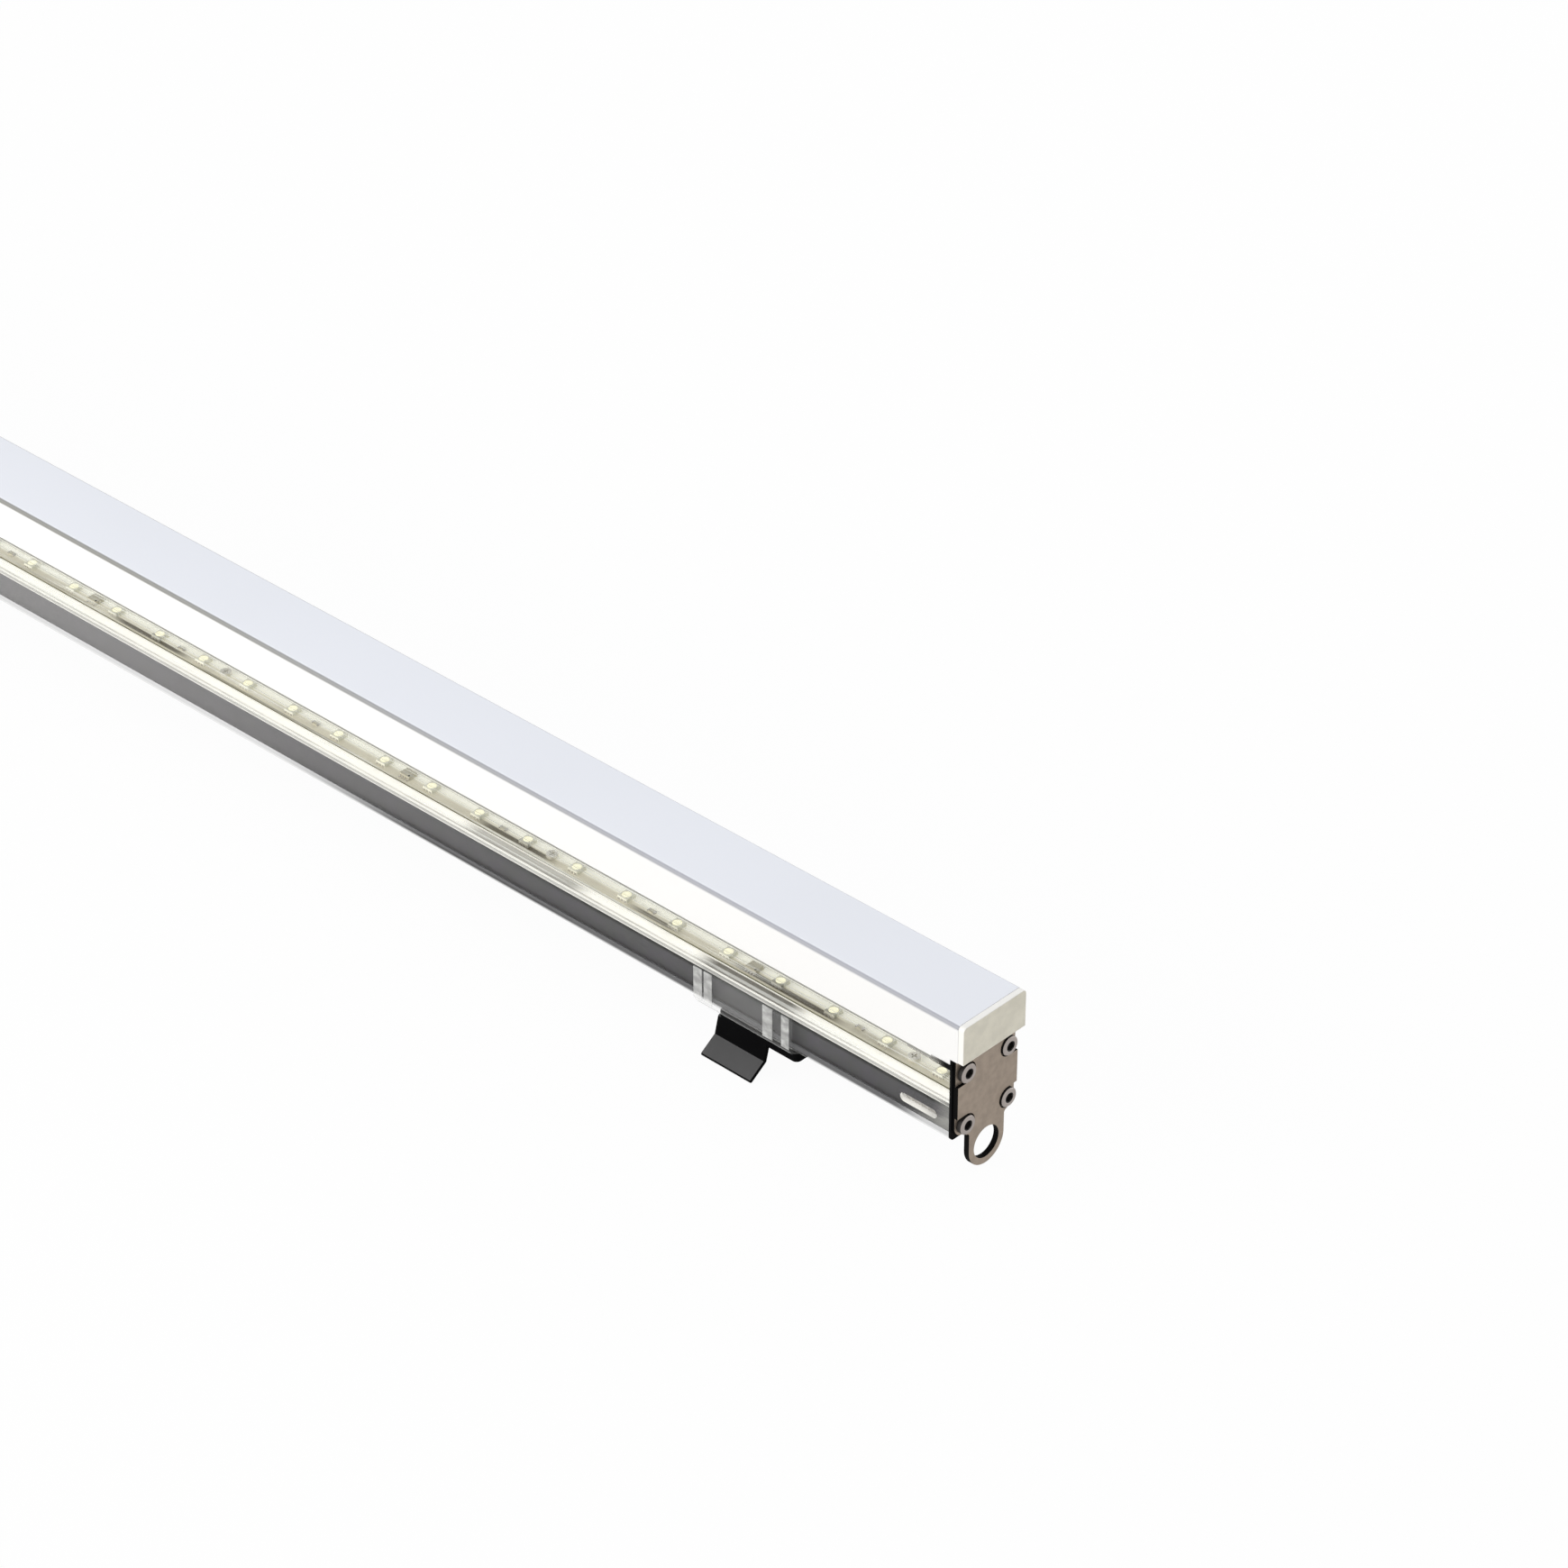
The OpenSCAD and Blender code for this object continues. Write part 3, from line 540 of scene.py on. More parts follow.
# the tops of the clips are painted lighter, for the light that falls on them
NYLON = moulded_plastic("black_clip_nylon", linear(9, 9, 10), 0.7, grain_mm=0.5, grain=0.35, shine=0.02,
                        lit_top_colour=linear(86, 86, 87))
LED_CASE = moulded_plastic("led_case_plastic", linear(244, 243, 226), 0.35, streaks=BOARD_STREAKS)
CHIP_CASE = moulded_plastic("chip_case_plastic", linear(204, 199, 178), 0.5)
TERMINAL = moulded_plastic("terminal_plastic", linear(70, 128, 84), 0.4)
INSULATION = moulded_plastic("lead_insulation", linear(166, 62, 44), 0.45)
print("7 plastics and rubbers")

# %% [markdown]
# ### Metals
#
# The plates have a fine sanded face, and their cut edges are painted nearly black, as shade. Screws, rivets and the
# gland are brighter.

# %% Metals
def metal(name, colour, roughness, spread, mark_mm, depth, metallic=1.0, shine=0.5):
    """Fine marks of the given size, over larger patches."""
    material, tree = new_material(name)
    marks = tree.grain(tree.place(), mark_mm, detail=4.0)
    patches = tree.grain(tree.place(), 3).step(0.25, 0.75)
    shade = tree.mix(patches * 0.6 + marks * 0.4, *either_side(colour, spread))
    finish_with(tree, Base_Color=shade, Metallic=metallic, Roughness=roughness + marks * 0.15,
                Specular_IOR_Level=shine, Normal=tree.bump(marks, depth, 0.01 * MM))
    return material


PLATE_FACE = metal("plate_face_metal", linear(152, 139, 126), 0.42, 0.17, 0.5, 0.25)
# painted shade on the cut edges of the plates, and the real dark dot on the chips
EDGE_SHADE_AND_CHIP_DOT = metal("plate_edge_shade_and_chip_dot", linear(9, 8, 8), 0.7, 0.1, 0.5, 0.2, metallic=0.0, shine=0.05)
SCREW_FACE = metal("screw_face_steel", linear(162, 154, 149), 0.35, 0.08, 0.3, 0.2)
# painted shade for the sockets and the sides of the screw heads
SCREW_SHADE = metal("screw_socket_shade_steel", linear(40, 37, 36), 0.5, 0.1, 0.3, 0.2, metallic=0.6)
ZINC = metal("board_screw_zinc", linear(226, 223, 212), 0.35, 0.04, 0.3, 0.2, metallic=0.5)
STEEL = metal("bright_steel", linear(200, 197, 194), 0.30, 0.06, 0.3, 0.2)
GLAND = metal("gland_nickel", linear(196, 196, 190), 0.25, 0.05, 0.6, 0.15)
print("7 metals")

# %% [markdown]
# ### Dark channel
#
# The channel is dark anodised aluminium with the long lines of its extrusion, and a painted reflection makes its dark
# band paler towards the far half. It is bare and pale above the dark band and in the two ports that show through the
# slots, where it also glows faintly as painted light, and milled grey at its ends.

# %% Dark channel
BAND_TOP = 11.5 * MM
PORT_FROM, PORT_SIDES = 470 * MM, (5.5 * MM, 13.12 * MM)
FOOT_FROM, FOOT_RISE = 474 * MM, 5 * MM
PORT_GLOW = 0.30


def channel_metal():
    material, tree = new_material("dark_channel_aluminium")
    place = tree.place()
    x, off_middle, y = tree.axis(place, "X"), abs(tree.axis(place, "X")), abs(tree.axis(place, "Y"))
    height = tree.axis(place, "Z") - GROUND_TO_BAR
    lines = tree.grain(tree.scaled(place, (0.01, 1.0, 1.0)), 0.5, detail=4.0)
    # the dark band: faint clouds, a black line under its top near the near end, and a painted reflection that makes
    # it paler towards the far half
    dark = tree.mix(lines, linear(64, 64, 67), linear(78, 78, 79))
    dark = tree.mix(tree.grain(place, 7).step(0.35, 0.7) * 0.5, dark, linear(78, 74, 84))
    black_line = x.step(0.24, 0.34) * height.step(9.8 * MM, 10.8 * MM)
    dark = tree.mix(black_line * 0.9, dark, linear(20, 20, 19))
    dark = tree.mix((1 - x.step(0.02, 0.36)) * 0.7, dark, linear(137, 136, 138))
    # bare metal
    port = (off_middle > PORT_FROM) * (y < PORT_SIDES[1]) * (y > PORT_SIDES[0]) * (height < BAND_TOP)
    bare = tree.mix(((height > BAND_TOP) + port).clamped(), dark, linear(244, 243, 238))
    # the grey foot of the ends, which rises towards the plate
    rise = off_middle.step(0.474, 0.497) * FOOT_RISE
    foot = (off_middle > FOOT_FROM) * (1 - (height - rise).step(0.8 * MM, 3.2 * MM)) * (0.15 + lines * 0.9)
    foot = foot + off_middle.step(0.485, 0.493) * (0.25 + lines * 0.6)
    # painted light: the ports glow faintly, to brighten their shaded inside
    finish_with(tree, Base_Color=tree.mix(foot.clamped(), bare, linear(154, 154, 151)), Metallic=0.1,
                Roughness=0.5 + lines * 0.15, Specular_IOR_Level=0.1,
                Emission_Color=tree.mix(port, (0.0, 0.0, 0.0), (0.9, 0.9, 0.88)), Emission_Strength=PORT_GLOW,
                Normal=tree.bump(lines, 0.2, 0.01 * MM))
    return material


CHANNEL = channel_metal()
print("bar stands", round(GROUND_TO_BAR / MM, 2), "mm above the ground")

# %% [markdown]
# ### LED window and board
#
# Both glow very faintly, as they scatter the light that the cover lets in.

# %% LED window and board
WINDOW_GLOW = 0.45
BOARD_GLOW = 0.28


def led_window():
    """Yellow resin with fine grains in it."""
    material, tree = new_material("led_yellow_window")
    grains = tree.grain(tree.place(), 0.25).step(0.3, 0.7)
    colour = tree.mix(grains, linear(252, 247, 203), linear(255, 253, 230))
    finish_with(tree, Base_Color=colour, Roughness=0.3, Emission_Color=colour, Emission_Strength=WINDOW_GLOW)
    return material


def board_lacquer():
    """Yellowish white lacquer, greyer on its -y half, with the olive core at the cut edges, painted dark as the shade
    line between board and strip.
    """
    material, tree = new_material("board_lacquer")
    place = tree.place()
    greyer = cloudy(tree, linear(203, 198, 177), 0.06, 60.0)
    pale = cloudy(tree, linear(248, 247, 232), 0.03, 90.0)
    lacquer = tree.mix(tree.axis(place, "Y").step(-0.9 * MM, 1.3 * MM), greyer, pale)
    streaked = tree.mix(streaks_at(tree, BOARD_STREAKS), lacquer, BOARD_STREAK)
    # painted shade: the cut edges are the olive core, darkened as the shade line between board and strip
    colour = tree.mix(abs(tree.normal("Z")) < 0.6, streaked, linear(92, 88, 62))
    finish_with(tree, Base_Color=colour, Roughness=0.34, Emission_Color=colour, Emission_Strength=BOARD_GLOW,
                Normal=tree.bump(tree.grain(place, 0.6), 0.15, 0.02 * MM))
    return material


WINDOW = led_window()
BOARD = board_lacquer()
print(WINDOW.name, BOARD.name)

# %% [markdown]
# ## Solids with soft edges
#
# CAD solids have knife edges, and real edges never do: their narrow rounds catch the light and make
# a piece look real. The CAD mesh itself stays as it is. A copy has its loose triangles merged and its
# flat faces joined, and a Bevel modifier rounds what is left of the edges.

# %% Rounded copies
WELD_WITHIN = 0.002 * MM
FLAT_BELOW = math.radians(0.6)
SMOOTH_BELOW = math.radians(32)
BEVEL_SEGMENTS = 2


def stands_for(piece, body, slot, *nodes):
    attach(piece, body)
    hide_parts(*nodes)
    return piece


def merged_copy(node, name):
    data = NODES[node].data.copy()
    data.materials.clear()
    mesh = bmesh.new()
    mesh.from_mesh(data)
    bmesh.ops.remove_doubles(mesh, verts=mesh.verts, dist=WELD_WITHIN)
    bmesh.ops.dissolve_limit(mesh, angle_limit=FLAT_BELOW, verts=mesh.verts, edges=mesh.edges)
    for face in mesh.faces:
        face.smooth = True
    for edge in mesh.edges:
        edge.smooth = edge.is_manifold and edge.calc_face_angle(math.pi) < SMOOTH_BELOW
    mesh.to_mesh(data)
    mesh.free()
    data.name = name
    return new_object(name, data)


def rounded_copy(node, body, slot, materials, radius_mm):
    piece = merged_copy(node, node + "_finished")
    for material in materials:
        piece.data.materials.append(material)
    bevel = piece.modifiers.new("soft_edges", "BEVEL")
    bevel.width = radius_mm * MM
    bevel.segments = BEVEL_SEGMENTS
    bevel.limit_method = "ANGLE"
    bevel.angle_limit = SMOOTH_BELOW
    bevel.harden_normals = True
    bevel.use_clamp_overlap = True
    return stands_for(piece, body, slot, node)


ROUNDED = [
    # node, body, slot, materials, radius of the edges
    ("clear_body", "lamp", "clear_plastic", [CLEAR], 0.15),
    ("opal_cover", "lamp", "opal_plastic", [OPAL], 0.12),
    ("cover_seals", "lamp", "grey_rubber", [SEAL], 0.10),
    ("inner_channel", "lamp", "dark_aluminium", [CHANNEL], 0.12),
    ("reflector_wings", "lamp", "white_plastic", [WING], 0.08),
    ("led_board", "lamp", "board", [BOARD], 0.08),
    ("supply_terminal", "lamp", "green_plastic", [TERMINAL], 0.15),
    ("board_screws", "lamp", "steel", [ZINC], 0.08),
    ("end_cap_near", "lamp", "ivory_plastic", [IVORY], 0.25),
    ("end_cap_far", "lamp", "ivory_plastic", [IVORY], 0.25),
    ("end_gasket_near", "lamp", "black_rubber", [END_GASKET], 0.08),
    ("end_gasket_far", "lamp", "black_rubber", [END_GASKET], 0.08),
    ("end_plate_near", "lamp", "plate_metal", [PLATE_FACE, EDGE_SHADE_AND_CHIP_DOT], 0.12),
    ("end_plate_far", "lamp", "plate_metal", [PLATE_FACE, EDGE_SHADE_AND_CHIP_DOT], 0.12),
    ("clip_saddle_near", "clip_near", "saddle_plastic", [SADDLE], 0.12),
    ("clip_saddle_far", "clip_far", "saddle_plastic", [SADDLE], 0.12),
    ("spring_clip_near", "clip_near", "clip_nylon", [NYLON], 0.20),
    ("spring_clip_far", "clip_far", "clip_nylon", [NYLON], 0.20),
    ("clip_rivets_near", "clip_near", "steel", [STEEL], 0.12),
    ("clip_rivets_far", "clip_far", "steel", [STEEL], 0.12),
    ("gland_gasket", "lamp", "black_rubber", [GASKET], 0.15),
    ("gland_body", "lamp", "gland_metal", [GLAND], 0.20),
    ("gland_locknut", "lamp", "gland_metal", [GLAND], 0.20),
    ("gland_seal", "lamp", "black_rubber", [GASKET], 0.15),
    ("gland_nut", "lamp", "gland_metal", [GLAND], 0.25),
]
PIECES = {row[0]: rounded_copy(*row) for row in ROUNDED}
print(len(PIECES), "pieces with soft edges")

# %% Painted shade on the edges of the end plates
ALONG_THE_BAR = 0.9


def darken_edges(piece):
    """The second material, painted shade, goes on every face that doesn't look along the bar."""
    for face in piece.data.polygons:
        face.material_index = 0 if abs(face.normal.x) > ALONG_THE_BAR else 1


for end in ("near", "far"):
    darken_edges(PIECES["end_plate_" + end])
print("plate edges are", EDGE_SHADE_AND_CHIP_DOT.name)

# %% [markdown]
# ## Things that repeat, grown by Geometry Nodes
#
# The LEDs, chips, resistors and screws are all one small shape, repeated at a fixed step. A Geometry
# Nodes tree draws the shape once and puts it at every place. Its sizes are named inputs, so the same
# tree gives another spacing or size without a new line of code. The result is turned into a plain mesh.

# %% Geometry tree helpers
def geometry_tree(name, sizes):
    group = bpy.data.node_groups.new(name, "GeometryNodeTree")
    group.interface.new_socket("Geometry", in_out="OUTPUT", socket_type="NodeSocketGeometry")
    for size, value in sizes.items():
        group.interface.new_socket(size, in_out="INPUT", socket_type="NodeSocketFloat").default_value = value
    tree = Tree(group)
    inputs = tree.nodes.new("NodeGroupInput").outputs
    return group, tree, {size: Value(tree, inputs[size]) for size in sizes}


def vector(tree, x=0.0, y=0.0, z=0.0):
    return tree.node("ShaderNodeCombineXYZ", {}, {"X": x, "Y": y, "Z": z})


def painted(tree, shape, material, **where):
    return tree.node("GeometryNodeSetMaterial", {}, {"Geometry": shape, "Material": material, **where})


def moved(tree, shape, translation, rotation=(0, 0, 0)):
    inputs = {"Geometry": shape, "Translation": translation, "Rotation": rotation}
    return tree.node("GeometryNodeTransform", {}, inputs)


def block(tree, size, middle, material):
    """A box of three sizes, round its middle."""
    cube = tree.node("GeometryNodeMeshCube", {}, {"Size": vector(tree, *size)})
    return moved(tree, painted(tree, cube, material), vector(tree, *middle))


def cylinder(tree, vertices, radius, depth):
    """Round its middle."""
    return tree.node("GeometryNodeMeshCylinder", {}, {"Vertices": vertices, "Radius": radius, "Depth": depth})


def cone(tree, vertices, top, bottom, depth):
    """From z = 0 upwards, between two radii."""
    inputs = {"Vertices": vertices, "Radius Top": top, "Radius Bottom": bottom, "Depth": depth}
    return tree.node("GeometryNodeMeshCone", {}, inputs)


def joined(tree, *shapes):
    join = tree.nodes.new("GeometryNodeJoinGeometry")
    for shape in shapes:
        tree.links.new(shape.socket, join.inputs[0])
    return Value(tree, join.outputs[0])


def on_points(tree, points, shape):
    return tree.node("GeometryNodeInstanceOnPoints", {}, {"Points": points, "Instance": shape})


def row_of(tree, shape, count, first, step):
    """Copies of a shape along a line of points."""
    inputs = {"Count": count, "Start Location": first, "Offset": step}
    return on_points(tree, tree.node("GeometryNodeMeshLine", {"mode": "OFFSET"}, inputs), shape)


def row_on_board(tree, shape, size):
    """The row starts at the near end and goes on towards the far end."""
    first, step = vector(tree, size["First"], 0, size["Level"]), vector(tree, size["Step"] * -1)
    return row_of(tree, shape, size["Count"], first, step)


def end_tree(tree, shape, material):
    """Every tree ends with real geometry and a material, because the export knows no instances. The
    pieces of the shape have their materials already, so the last node repaints no face."""
    real = tree.node("GeometryNodeRealizeInstances", {}, {"Geometry": shape})
    no_faces = tree.node("FunctionNodeInputBool", {"boolean": False}, {})
    tree.node("NodeGroupOutput", {}, {"Geometry": painted(tree, real, material, Selection=no_faces)})


def grown(name, group, **sizes):
    """Runs a tree once and keeps its result as a plain mesh."""
    piece = new_object(name, bpy.data.meshes.new(name))
    modifier = piece.modifiers.new("grow", "NODES")
    modifier.node_group = group
    identifiers = {item.name: item.identifier for item in group.interface.items_tree}
    for size, value in sizes.items():
        modifier[identifiers[size.replace("_", " ")]] = float(value)
    bpy.context.view_layer.update()
    depsgraph = bpy.context.evaluated_depsgraph_get()
    mesh = bpy.data.meshes.new_from_object(piece.evaluated_get(depsgraph), depsgraph=depsgraph)
    piece.modifiers.remove(modifier)
    piece.data = mesh
    print(name, len(mesh.polygons), "faces")
    return piece


print("geometry helpers ready")

# %% [markdown]
# ### LEDs
#
# Each LED is a square white package with six small tabs. A round window with a slightly domed yellow
# filling sits in its face. The step between two LEDs is measured on the CAD model.

# %% LED packages and windows
BOARD_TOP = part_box("led_board")[1].z
LED_COUNT = 41
LED_SIDE = 5 * MM
LED_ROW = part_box("led_packages")
LED_FIRST = LED_ROW[1].x - LED_SIDE / 2
LED_STEP = 2 * LED_FIRST / (LED_COUNT - 1)
LED_HEIGHT = LED_ROW[1].z - BOARD_TOP
LED_ROW_SIZES = {"Count": LED_COUNT, "Step": LED_STEP, "First": LED_FIRST}
# shares of the package's side, of the case's foot and of its height
CASE_SHARE, CASE_TAPER, TAB_SHARE = 0.92, 0.95, 0.45
WINDOW_CORNERS = 20
DOME_TOP, DOME_FOOT = 0.6, 0.97


def led_package_tree():
    group, tree, size = geometry_tree("led_packages", {
        **LED_ROW_SIZES, "Level": BOARD_TOP, "Side": LED_SIDE, "Height": LED_HEIGHT,
        "Tab Width": 0.9 * MM, "Tab Step": 1.5 * MM})
    # a cone with four corners, turned by half a right angle, is a tapered box
    corner = size["Side"] * (CASE_SHARE / math.sqrt(2))
    case = cone(tree, 4, corner * CASE_TAPER, corner, size["Height"])
    case = painted(tree, moved(tree, case, (0, 0, 0), (0, 0, math.radians(45))), LED_CASE)
    tab_height = size["Height"] * TAB_SHARE
    tab = block(tree, (size["Tab Width"], size["Side"], tab_height), (0, 0, tab_height * 0.5), STEEL)
    tabs = row_of(tree, tab, 3, vector(tree, size["Tab Step"] * -1), vector(tree, size["Tab Step"]))
    end_tree(tree, row_on_board(tree, joined(tree, case, tabs), size), LED_CASE)
    return group


def led_window_tree():
    group, tree, size = geometry_tree("led_windows", {
        **LED_ROW_SIZES, "Level": BOARD_TOP + LED_HEIGHT, "Diameter": 3.4 * MM, "Sink": 0.2 * MM,
        "Rise": 0.12 * MM})
    radius = size["Diameter"] * 0.5
    flat = cylinder(tree, WINDOW_CORNERS, radius, size["Sink"])
    flat = painted(tree, moved(tree, flat, vector(tree, 0, 0, size["Sink"] * -0.5)), WINDOW)
    dome = painted(tree, cone(tree, WINDOW_CORNERS, radius * DOME_TOP, radius * DOME_FOOT, size["Rise"]), WINDOW)
    end_tree(tree, row_on_board(tree, joined(tree, flat, dome), size), WINDOW)
    return group


stands_for(grown("led_package_row", led_package_tree()), "lamp", "led_case", "led_packages")
stands_for(grown("led_window_row", led_window_tree()), "lamp", "phosphor", "led_phosphors")
print("LED step", round(LED_STEP / MM, 2), "mm")

# %% [markdown]
# ### Chips and resistors
#
# The chips and resistors come again after every seventh gap between two LEDs. A chip has eight bent
# legs: each is a foot on the board and a shank against the case. A resistor has a bright cap at each end.

# %% Driver chips and resistors
GAPS_PER_REPEAT = 7
CHIP_GAP = 3
RESISTOR_GAPS = (1, 5)
# the chip's case floats a little above the board, by a share of its height
CHIP_LIFT = 0.04
DOT_PLACE = (0.36, -0.34)
DOT_RADIUS, DOT_DEPTH = 0.4 * MM, 0.04 * MM
LEG_THICKNESS, LEG_BULGE, SHANK_LIFT = 0.18 * MM, 0.5 * MM, 0.1 * MM
# the resistor's case stays inside its caps, and the caps are a little higher than the case
RESISTOR_CASE = (0.98, 0.96)
CAP_HEIGHT = 1.08
ROW_OF_SIX = {"Count": 6, "Step": 0.1, "First": 0.0, "Level": BOARD_TOP}


def gap_place(place):
    """The middle of the first gap of that kind, the step to the next, and how many there are."""
    gaps = [i for i in range(LED_COUNT - 1) if i % GAPS_PER_REPEAT == place]
    return {"First": LED_FIRST - (place + 0.5) * LED_STEP, "Step": GAPS_PER_REPEAT * LED_STEP, "Count": len(gaps)}


def chip_tree():
    group, tree, size = geometry_tree("driver_chips", {
        **ROW_OF_SIX, "Length": 4.9 * MM, "Width": 3.9 * MM, "Height": 1.4 * MM, "Leg Width": 0.4 * MM,
        "Leg Step": 1.27 * MM, "Reach": 6 * MM})
    length, width, height = size["Length"], size["Width"], size["Height"]
    case = block(tree, (length, width, height), (0, 0, height * (0.5 + CHIP_LIFT)), CHIP_CASE)
    dot = painted(tree, cylinder(tree, 16, DOT_RADIUS, DOT_DEPTH), EDGE_SHADE_AND_CHIP_DOT)
    dot = moved(tree, dot, vector(tree, length * DOT_PLACE[0], width * DOT_PLACE[1], height * (1 + CHIP_LIFT)))
    foot = block(tree, (size["Leg Width"], size["Reach"], LEG_THICKNESS), (0, 0, LEG_THICKNESS / 2), STEEL)
    shank = block(tree, (size["Leg Width"], width + LEG_BULGE, height * 0.5),
                  (0, 0, height * 0.25 + SHANK_LIFT), STEEL)
    first_leg, leg_step = vector(tree, size["Leg Step"] * -1.5), vector(tree, size["Leg Step"])
    legs = row_of(tree, joined(tree, foot, shank), 4, first_leg, leg_step)
    end_tree(tree, row_on_board(tree, joined(tree, case, dot, legs), size), CHIP_CASE)
    return group


def resistor_tree():
    group, tree, size = geometry_tree("resistors", {
        **ROW_OF_SIX, "Length": 3.2 * MM, "Width": 1.6 * MM, "Height": 0.55 * MM, "Cap": 0.5 * MM})
    length, width, height = size["Length"], size["Width"], size["Height"]
    cap_middle = (0, 0, height * (CAP_HEIGHT / 2))
    case = block(tree, (length * RESISTOR_CASE[0], width * RESISTOR_CASE[1], height), (0, 0, height * 0.5), CHIP_CASE)
    cap = block(tree, (size["Cap"], width, height * CAP_HEIGHT), cap_middle, STEEL)
    reach = (length - size["Cap"]) * 0.5
    caps = row_of(tree, cap, 2, vector(tree, reach * -1), vector(tree, reach * 2))
    end_tree(tree, row_on_board(tree, joined(tree, case, caps), size), CHIP_CASE)
    return group


def joined_pieces(name, pieces):
    """One object from several, all at the origin."""
    mesh = bmesh.new()
    for piece in pieces:
        mesh.from_mesh(piece.data)
    mesh.to_mesh(pieces[0].data)
    mesh.free()
    for piece in pieces[1:]:
        bpy.data.objects.remove(piece)
    pieces[0].name = name
    return pieces[0]


stands_for(grown("driver_chip_row", chip_tree(), **gap_place(CHIP_GAP)), "lamp", "black_plastic", "driver_chips")
RESISTORS = resistor_tree()
resistor_rows = [grown("resistor_row_" + str(place), RESISTORS, **gap_place(place)) for place in RESISTOR_GAPS]
stands_for(joined_pieces("resistor_row", resistor_rows), "lamp", "black_plastic", "resistors")

# %% [markdown]
# ### End screws
#
# Four cap screws hold each end plate. A hexagon is cut from the head with a Boolean, and then a
# cone for its wider mouth. The sides and the socket get a dark material of painted shade, and a fine spiral is the
# thread.

# %% End screws
SCREW_PLACES = {end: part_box("end_screws_" + end) for end in ("near", "far")}
HEAD_DIAMETER, HEAD_HEIGHT = 7 * MM, 2 * MM
HEAD_CORNERS, MOUTH_CORNERS, SHANK_CORNERS = 36, 24, 20
MOUTH_TOP, MOUTH_FOOT = 1.4, 0.8
# a face of the head gets painted shade in the socket, meaning near the axis and below the face, or on the rim
SOCKET_SHARE, RIM_SHARE = 1.3, 0.98
SOCKET_FROM, SOCKET_BELOW_FACE = 0.1 * MM, 0.05 * MM
# shares of the shank's radius, and lengths at its tip
CORE_SHARE, TIP_SHARE, THREAD_SHARE = 0.86, 0.45, 0.84
TIP_LENGTH, THREAD_FROM_TIP, NO_THREAD, THREAD_RIDGE = 1.6 * MM, 2 * MM, 3 * MM, 0.32 * MM
THREAD_STEPS_PER_TURN = 18


def cut(tree, shape, cutter):
    return tree.node("GeometryNodeMeshBoolean", {"operation": "DIFFERENCE"}, {"Mesh 1": shape, "Mesh 2": cutter})


def screw_head(tree, size):
    """It stands on z = 0."""
    radius, height, chamfer = size["Head Diameter"] * 0.5, size["Head Height"], size["Chamfer"]
    low = height - chamfer
    blank, top = tree.mesh_and_top("GeometryNodeMeshCylinder", {
        "Vertices": HEAD_CORNERS, "Radius": radius, "Depth": low})
    raised, top = tree.mesh_and_top("GeometryNodeExtrudeMesh", {
        "Mesh": blank, "Selection": top, "Offset Scale": chamfer})
    head = tree.node("GeometryNodeScaleElements", {}, {
        "Geometry": raised, "Selection": top, "Scale": 1 - chamfer / radius})
    head = moved(tree, head, vector(tree, 0, 0, low * 0.5))
    hex_radius = size["Socket"] * (1 / math.sqrt(3))
    hexagon = cylinder(tree, 6, hex_radius, size["Socket Depth"] * 2)
    head = cut(tree, head, moved(tree, hexagon, vector(tree, 0, 0, height)))
    mouth = cone(tree, MOUTH_CORNERS, hex_radius * MOUTH_TOP, hex_radius * MOUTH_FOOT, size["Mouth"] * 2)
    head = painted(tree, cut(tree, head, moved(tree, mouth, vector(tree, 0, 0, height - size["Mouth"]))), SCREW_FACE)
    place = tree.node("GeometryNodeInputPosition", {}, {})
    off_axis = tree.node("ShaderNodeVectorMath", {"operation": "LENGTH"},
                         {0: tree.scaled(place, (1.0, 1.0, 0.0))}, output="Value")
    up = tree.axis(place, "Z")
    socket = (off_axis < hex_radius * SOCKET_SHARE) * (up < height - SOCKET_BELOW_FACE) * (up > SOCKET_FROM)
    return painted(tree, head, SCREW_SHADE, Selection=(socket + (off_axis > radius * RIM_SHARE)).clamped())


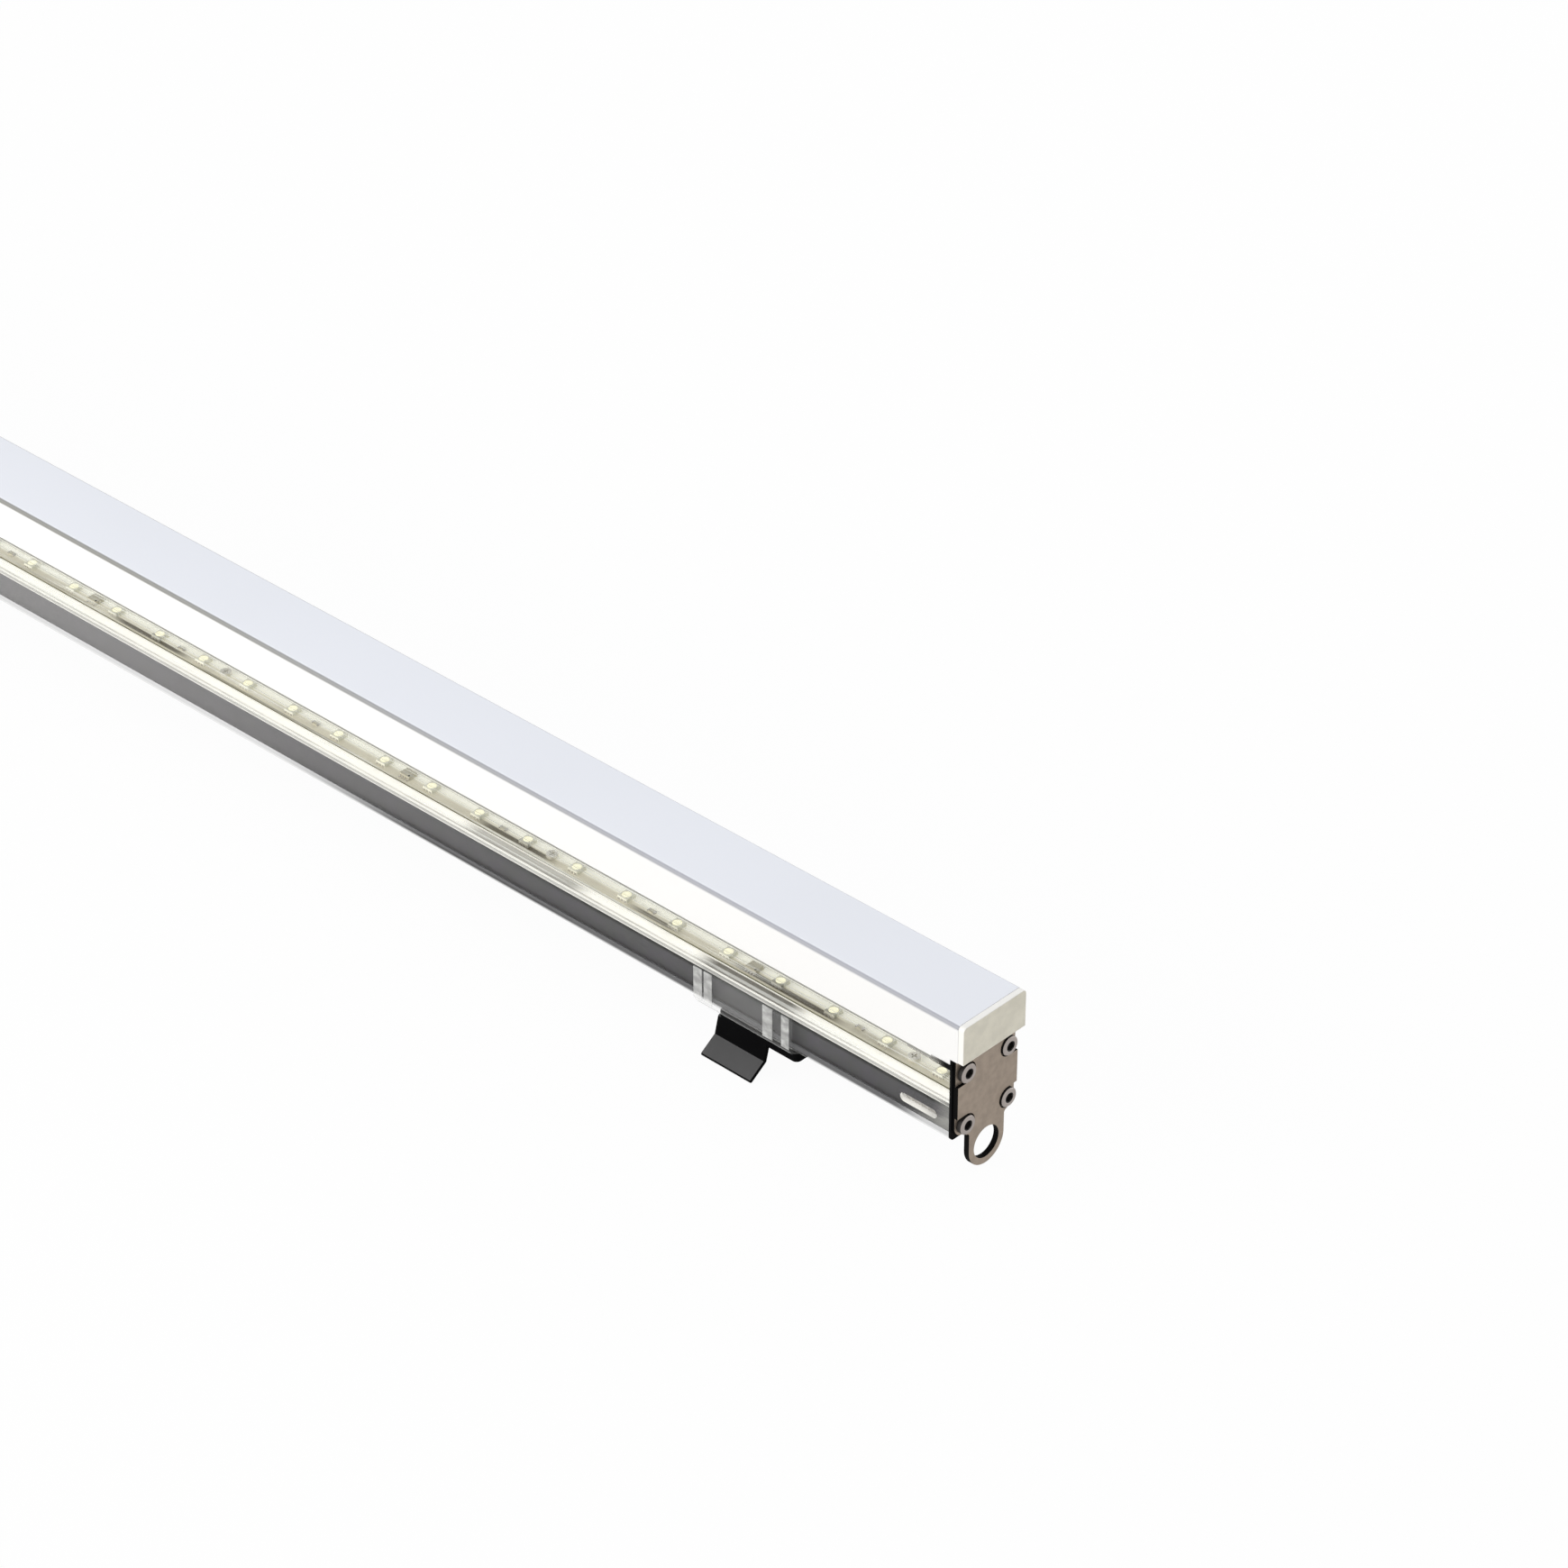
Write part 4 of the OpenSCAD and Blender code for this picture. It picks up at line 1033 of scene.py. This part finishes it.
def screw_shank(tree, size):
    """Core, tapered tip and thread, which hang down from z = 0."""
    radius, length = size["Shank Diameter"] * 0.5, size["Length"]
    core_length = length - TIP_LENGTH
    core = cylinder(tree, SHANK_CORNERS, radius * CORE_SHARE, core_length)
    core = moved(tree, core, vector(tree, 0, 0, core_length * -0.5))
    tip = cone(tree, SHANK_CORNERS, radius * CORE_SHARE, radius * TIP_SHARE, TIP_LENGTH)
    tip = moved(tree, tip, vector(tree, 0, 0, length * -1))
    thread_length = length - NO_THREAD
    spiral = tree.node("GeometryNodeCurveSpiral", {}, {
        "Resolution": THREAD_STEPS_PER_TURN, "Rotations": thread_length / size["Thread Pitch"],
        "Start Radius": radius * THREAD_SHARE, "End Radius": radius * THREAD_SHARE, "Height": thread_length})
    ridge = tree.node("GeometryNodeCurvePrimitiveCircle", {}, {"Resolution": 3, "Radius": THREAD_RIDGE})
    thread = tree.node("GeometryNodeCurveToMesh", {}, {"Curve": spiral, "Profile Curve": ridge, "Fill Caps": True})
    thread = moved(tree, thread, vector(tree, 0, 0, (length - THREAD_FROM_TIP) * -1))
    return painted(tree, joined(tree, core, tip, thread), STEEL)


def screw_tree():
    """Four upright screws at the corners of a grid, laid down along the bar and put on their plate."""
    group, tree, size = geometry_tree("end_screws", {
        "Seat": 0.4, "Turn": 0.0, "Level": 0.03, "Spread Y": 20 * MM, "Spread Z": 20 * MM,
        "Head Diameter": HEAD_DIAMETER, "Head Height": HEAD_HEIGHT, "Chamfer": 0.3 * MM, "Socket": 3 * MM,
        "Socket Depth": 1.3 * MM, "Mouth": 0.25 * MM, "Shank Diameter": 4 * MM, "Length": 25 * MM,
        "Thread Pitch": 1.0 * MM})
    screw = joined(tree, screw_head(tree, size), screw_shank(tree, size))
    corners = tree.node("GeometryNodeMeshGrid", {}, {
        "Size X": size["Spread Z"], "Size Y": size["Spread Y"], "Vertices X": 2, "Vertices Y": 2})
    four = moved(tree, on_points(tree, corners, screw), (0, 0, 0), (0, math.radians(90), 0))
    four = moved(tree, four, vector(tree, size["Seat"], 0, size["Level"]))
    end_tree(tree, moved(tree, four, (0, 0, 0), vector(tree, 0, 0, size["Turn"])), STEEL)
    return group


SCREWS = screw_tree()
for end, (low, high) in SCREW_PLACES.items():
    seat = max(abs(low.x), abs(high.x)) - HEAD_HEIGHT
    spread = {"Spread_Y": high.y - low.y - HEAD_DIAMETER, "Spread_Z": high.z - low.z - HEAD_DIAMETER}
    screws = grown("end_screws_" + end + "_threaded", SCREWS, Seat=seat, Level=(low.z + high.z) / 2,
                   Turn=0 if end == "near" else math.pi, **spread)
    stands_for(screws, "lamp", "steel", "end_screws_" + end)

# %% [markdown]
# ## The node that stays as it is
#
# The two leads under the channel keep the mesh of the CAD model and only get a material.

# %% Material on the leads
leads = NODES["supply_leads"].data
leads.materials.clear()
leads.materials.append(INSULATION)
print("supply_leads keep their CAD mesh")
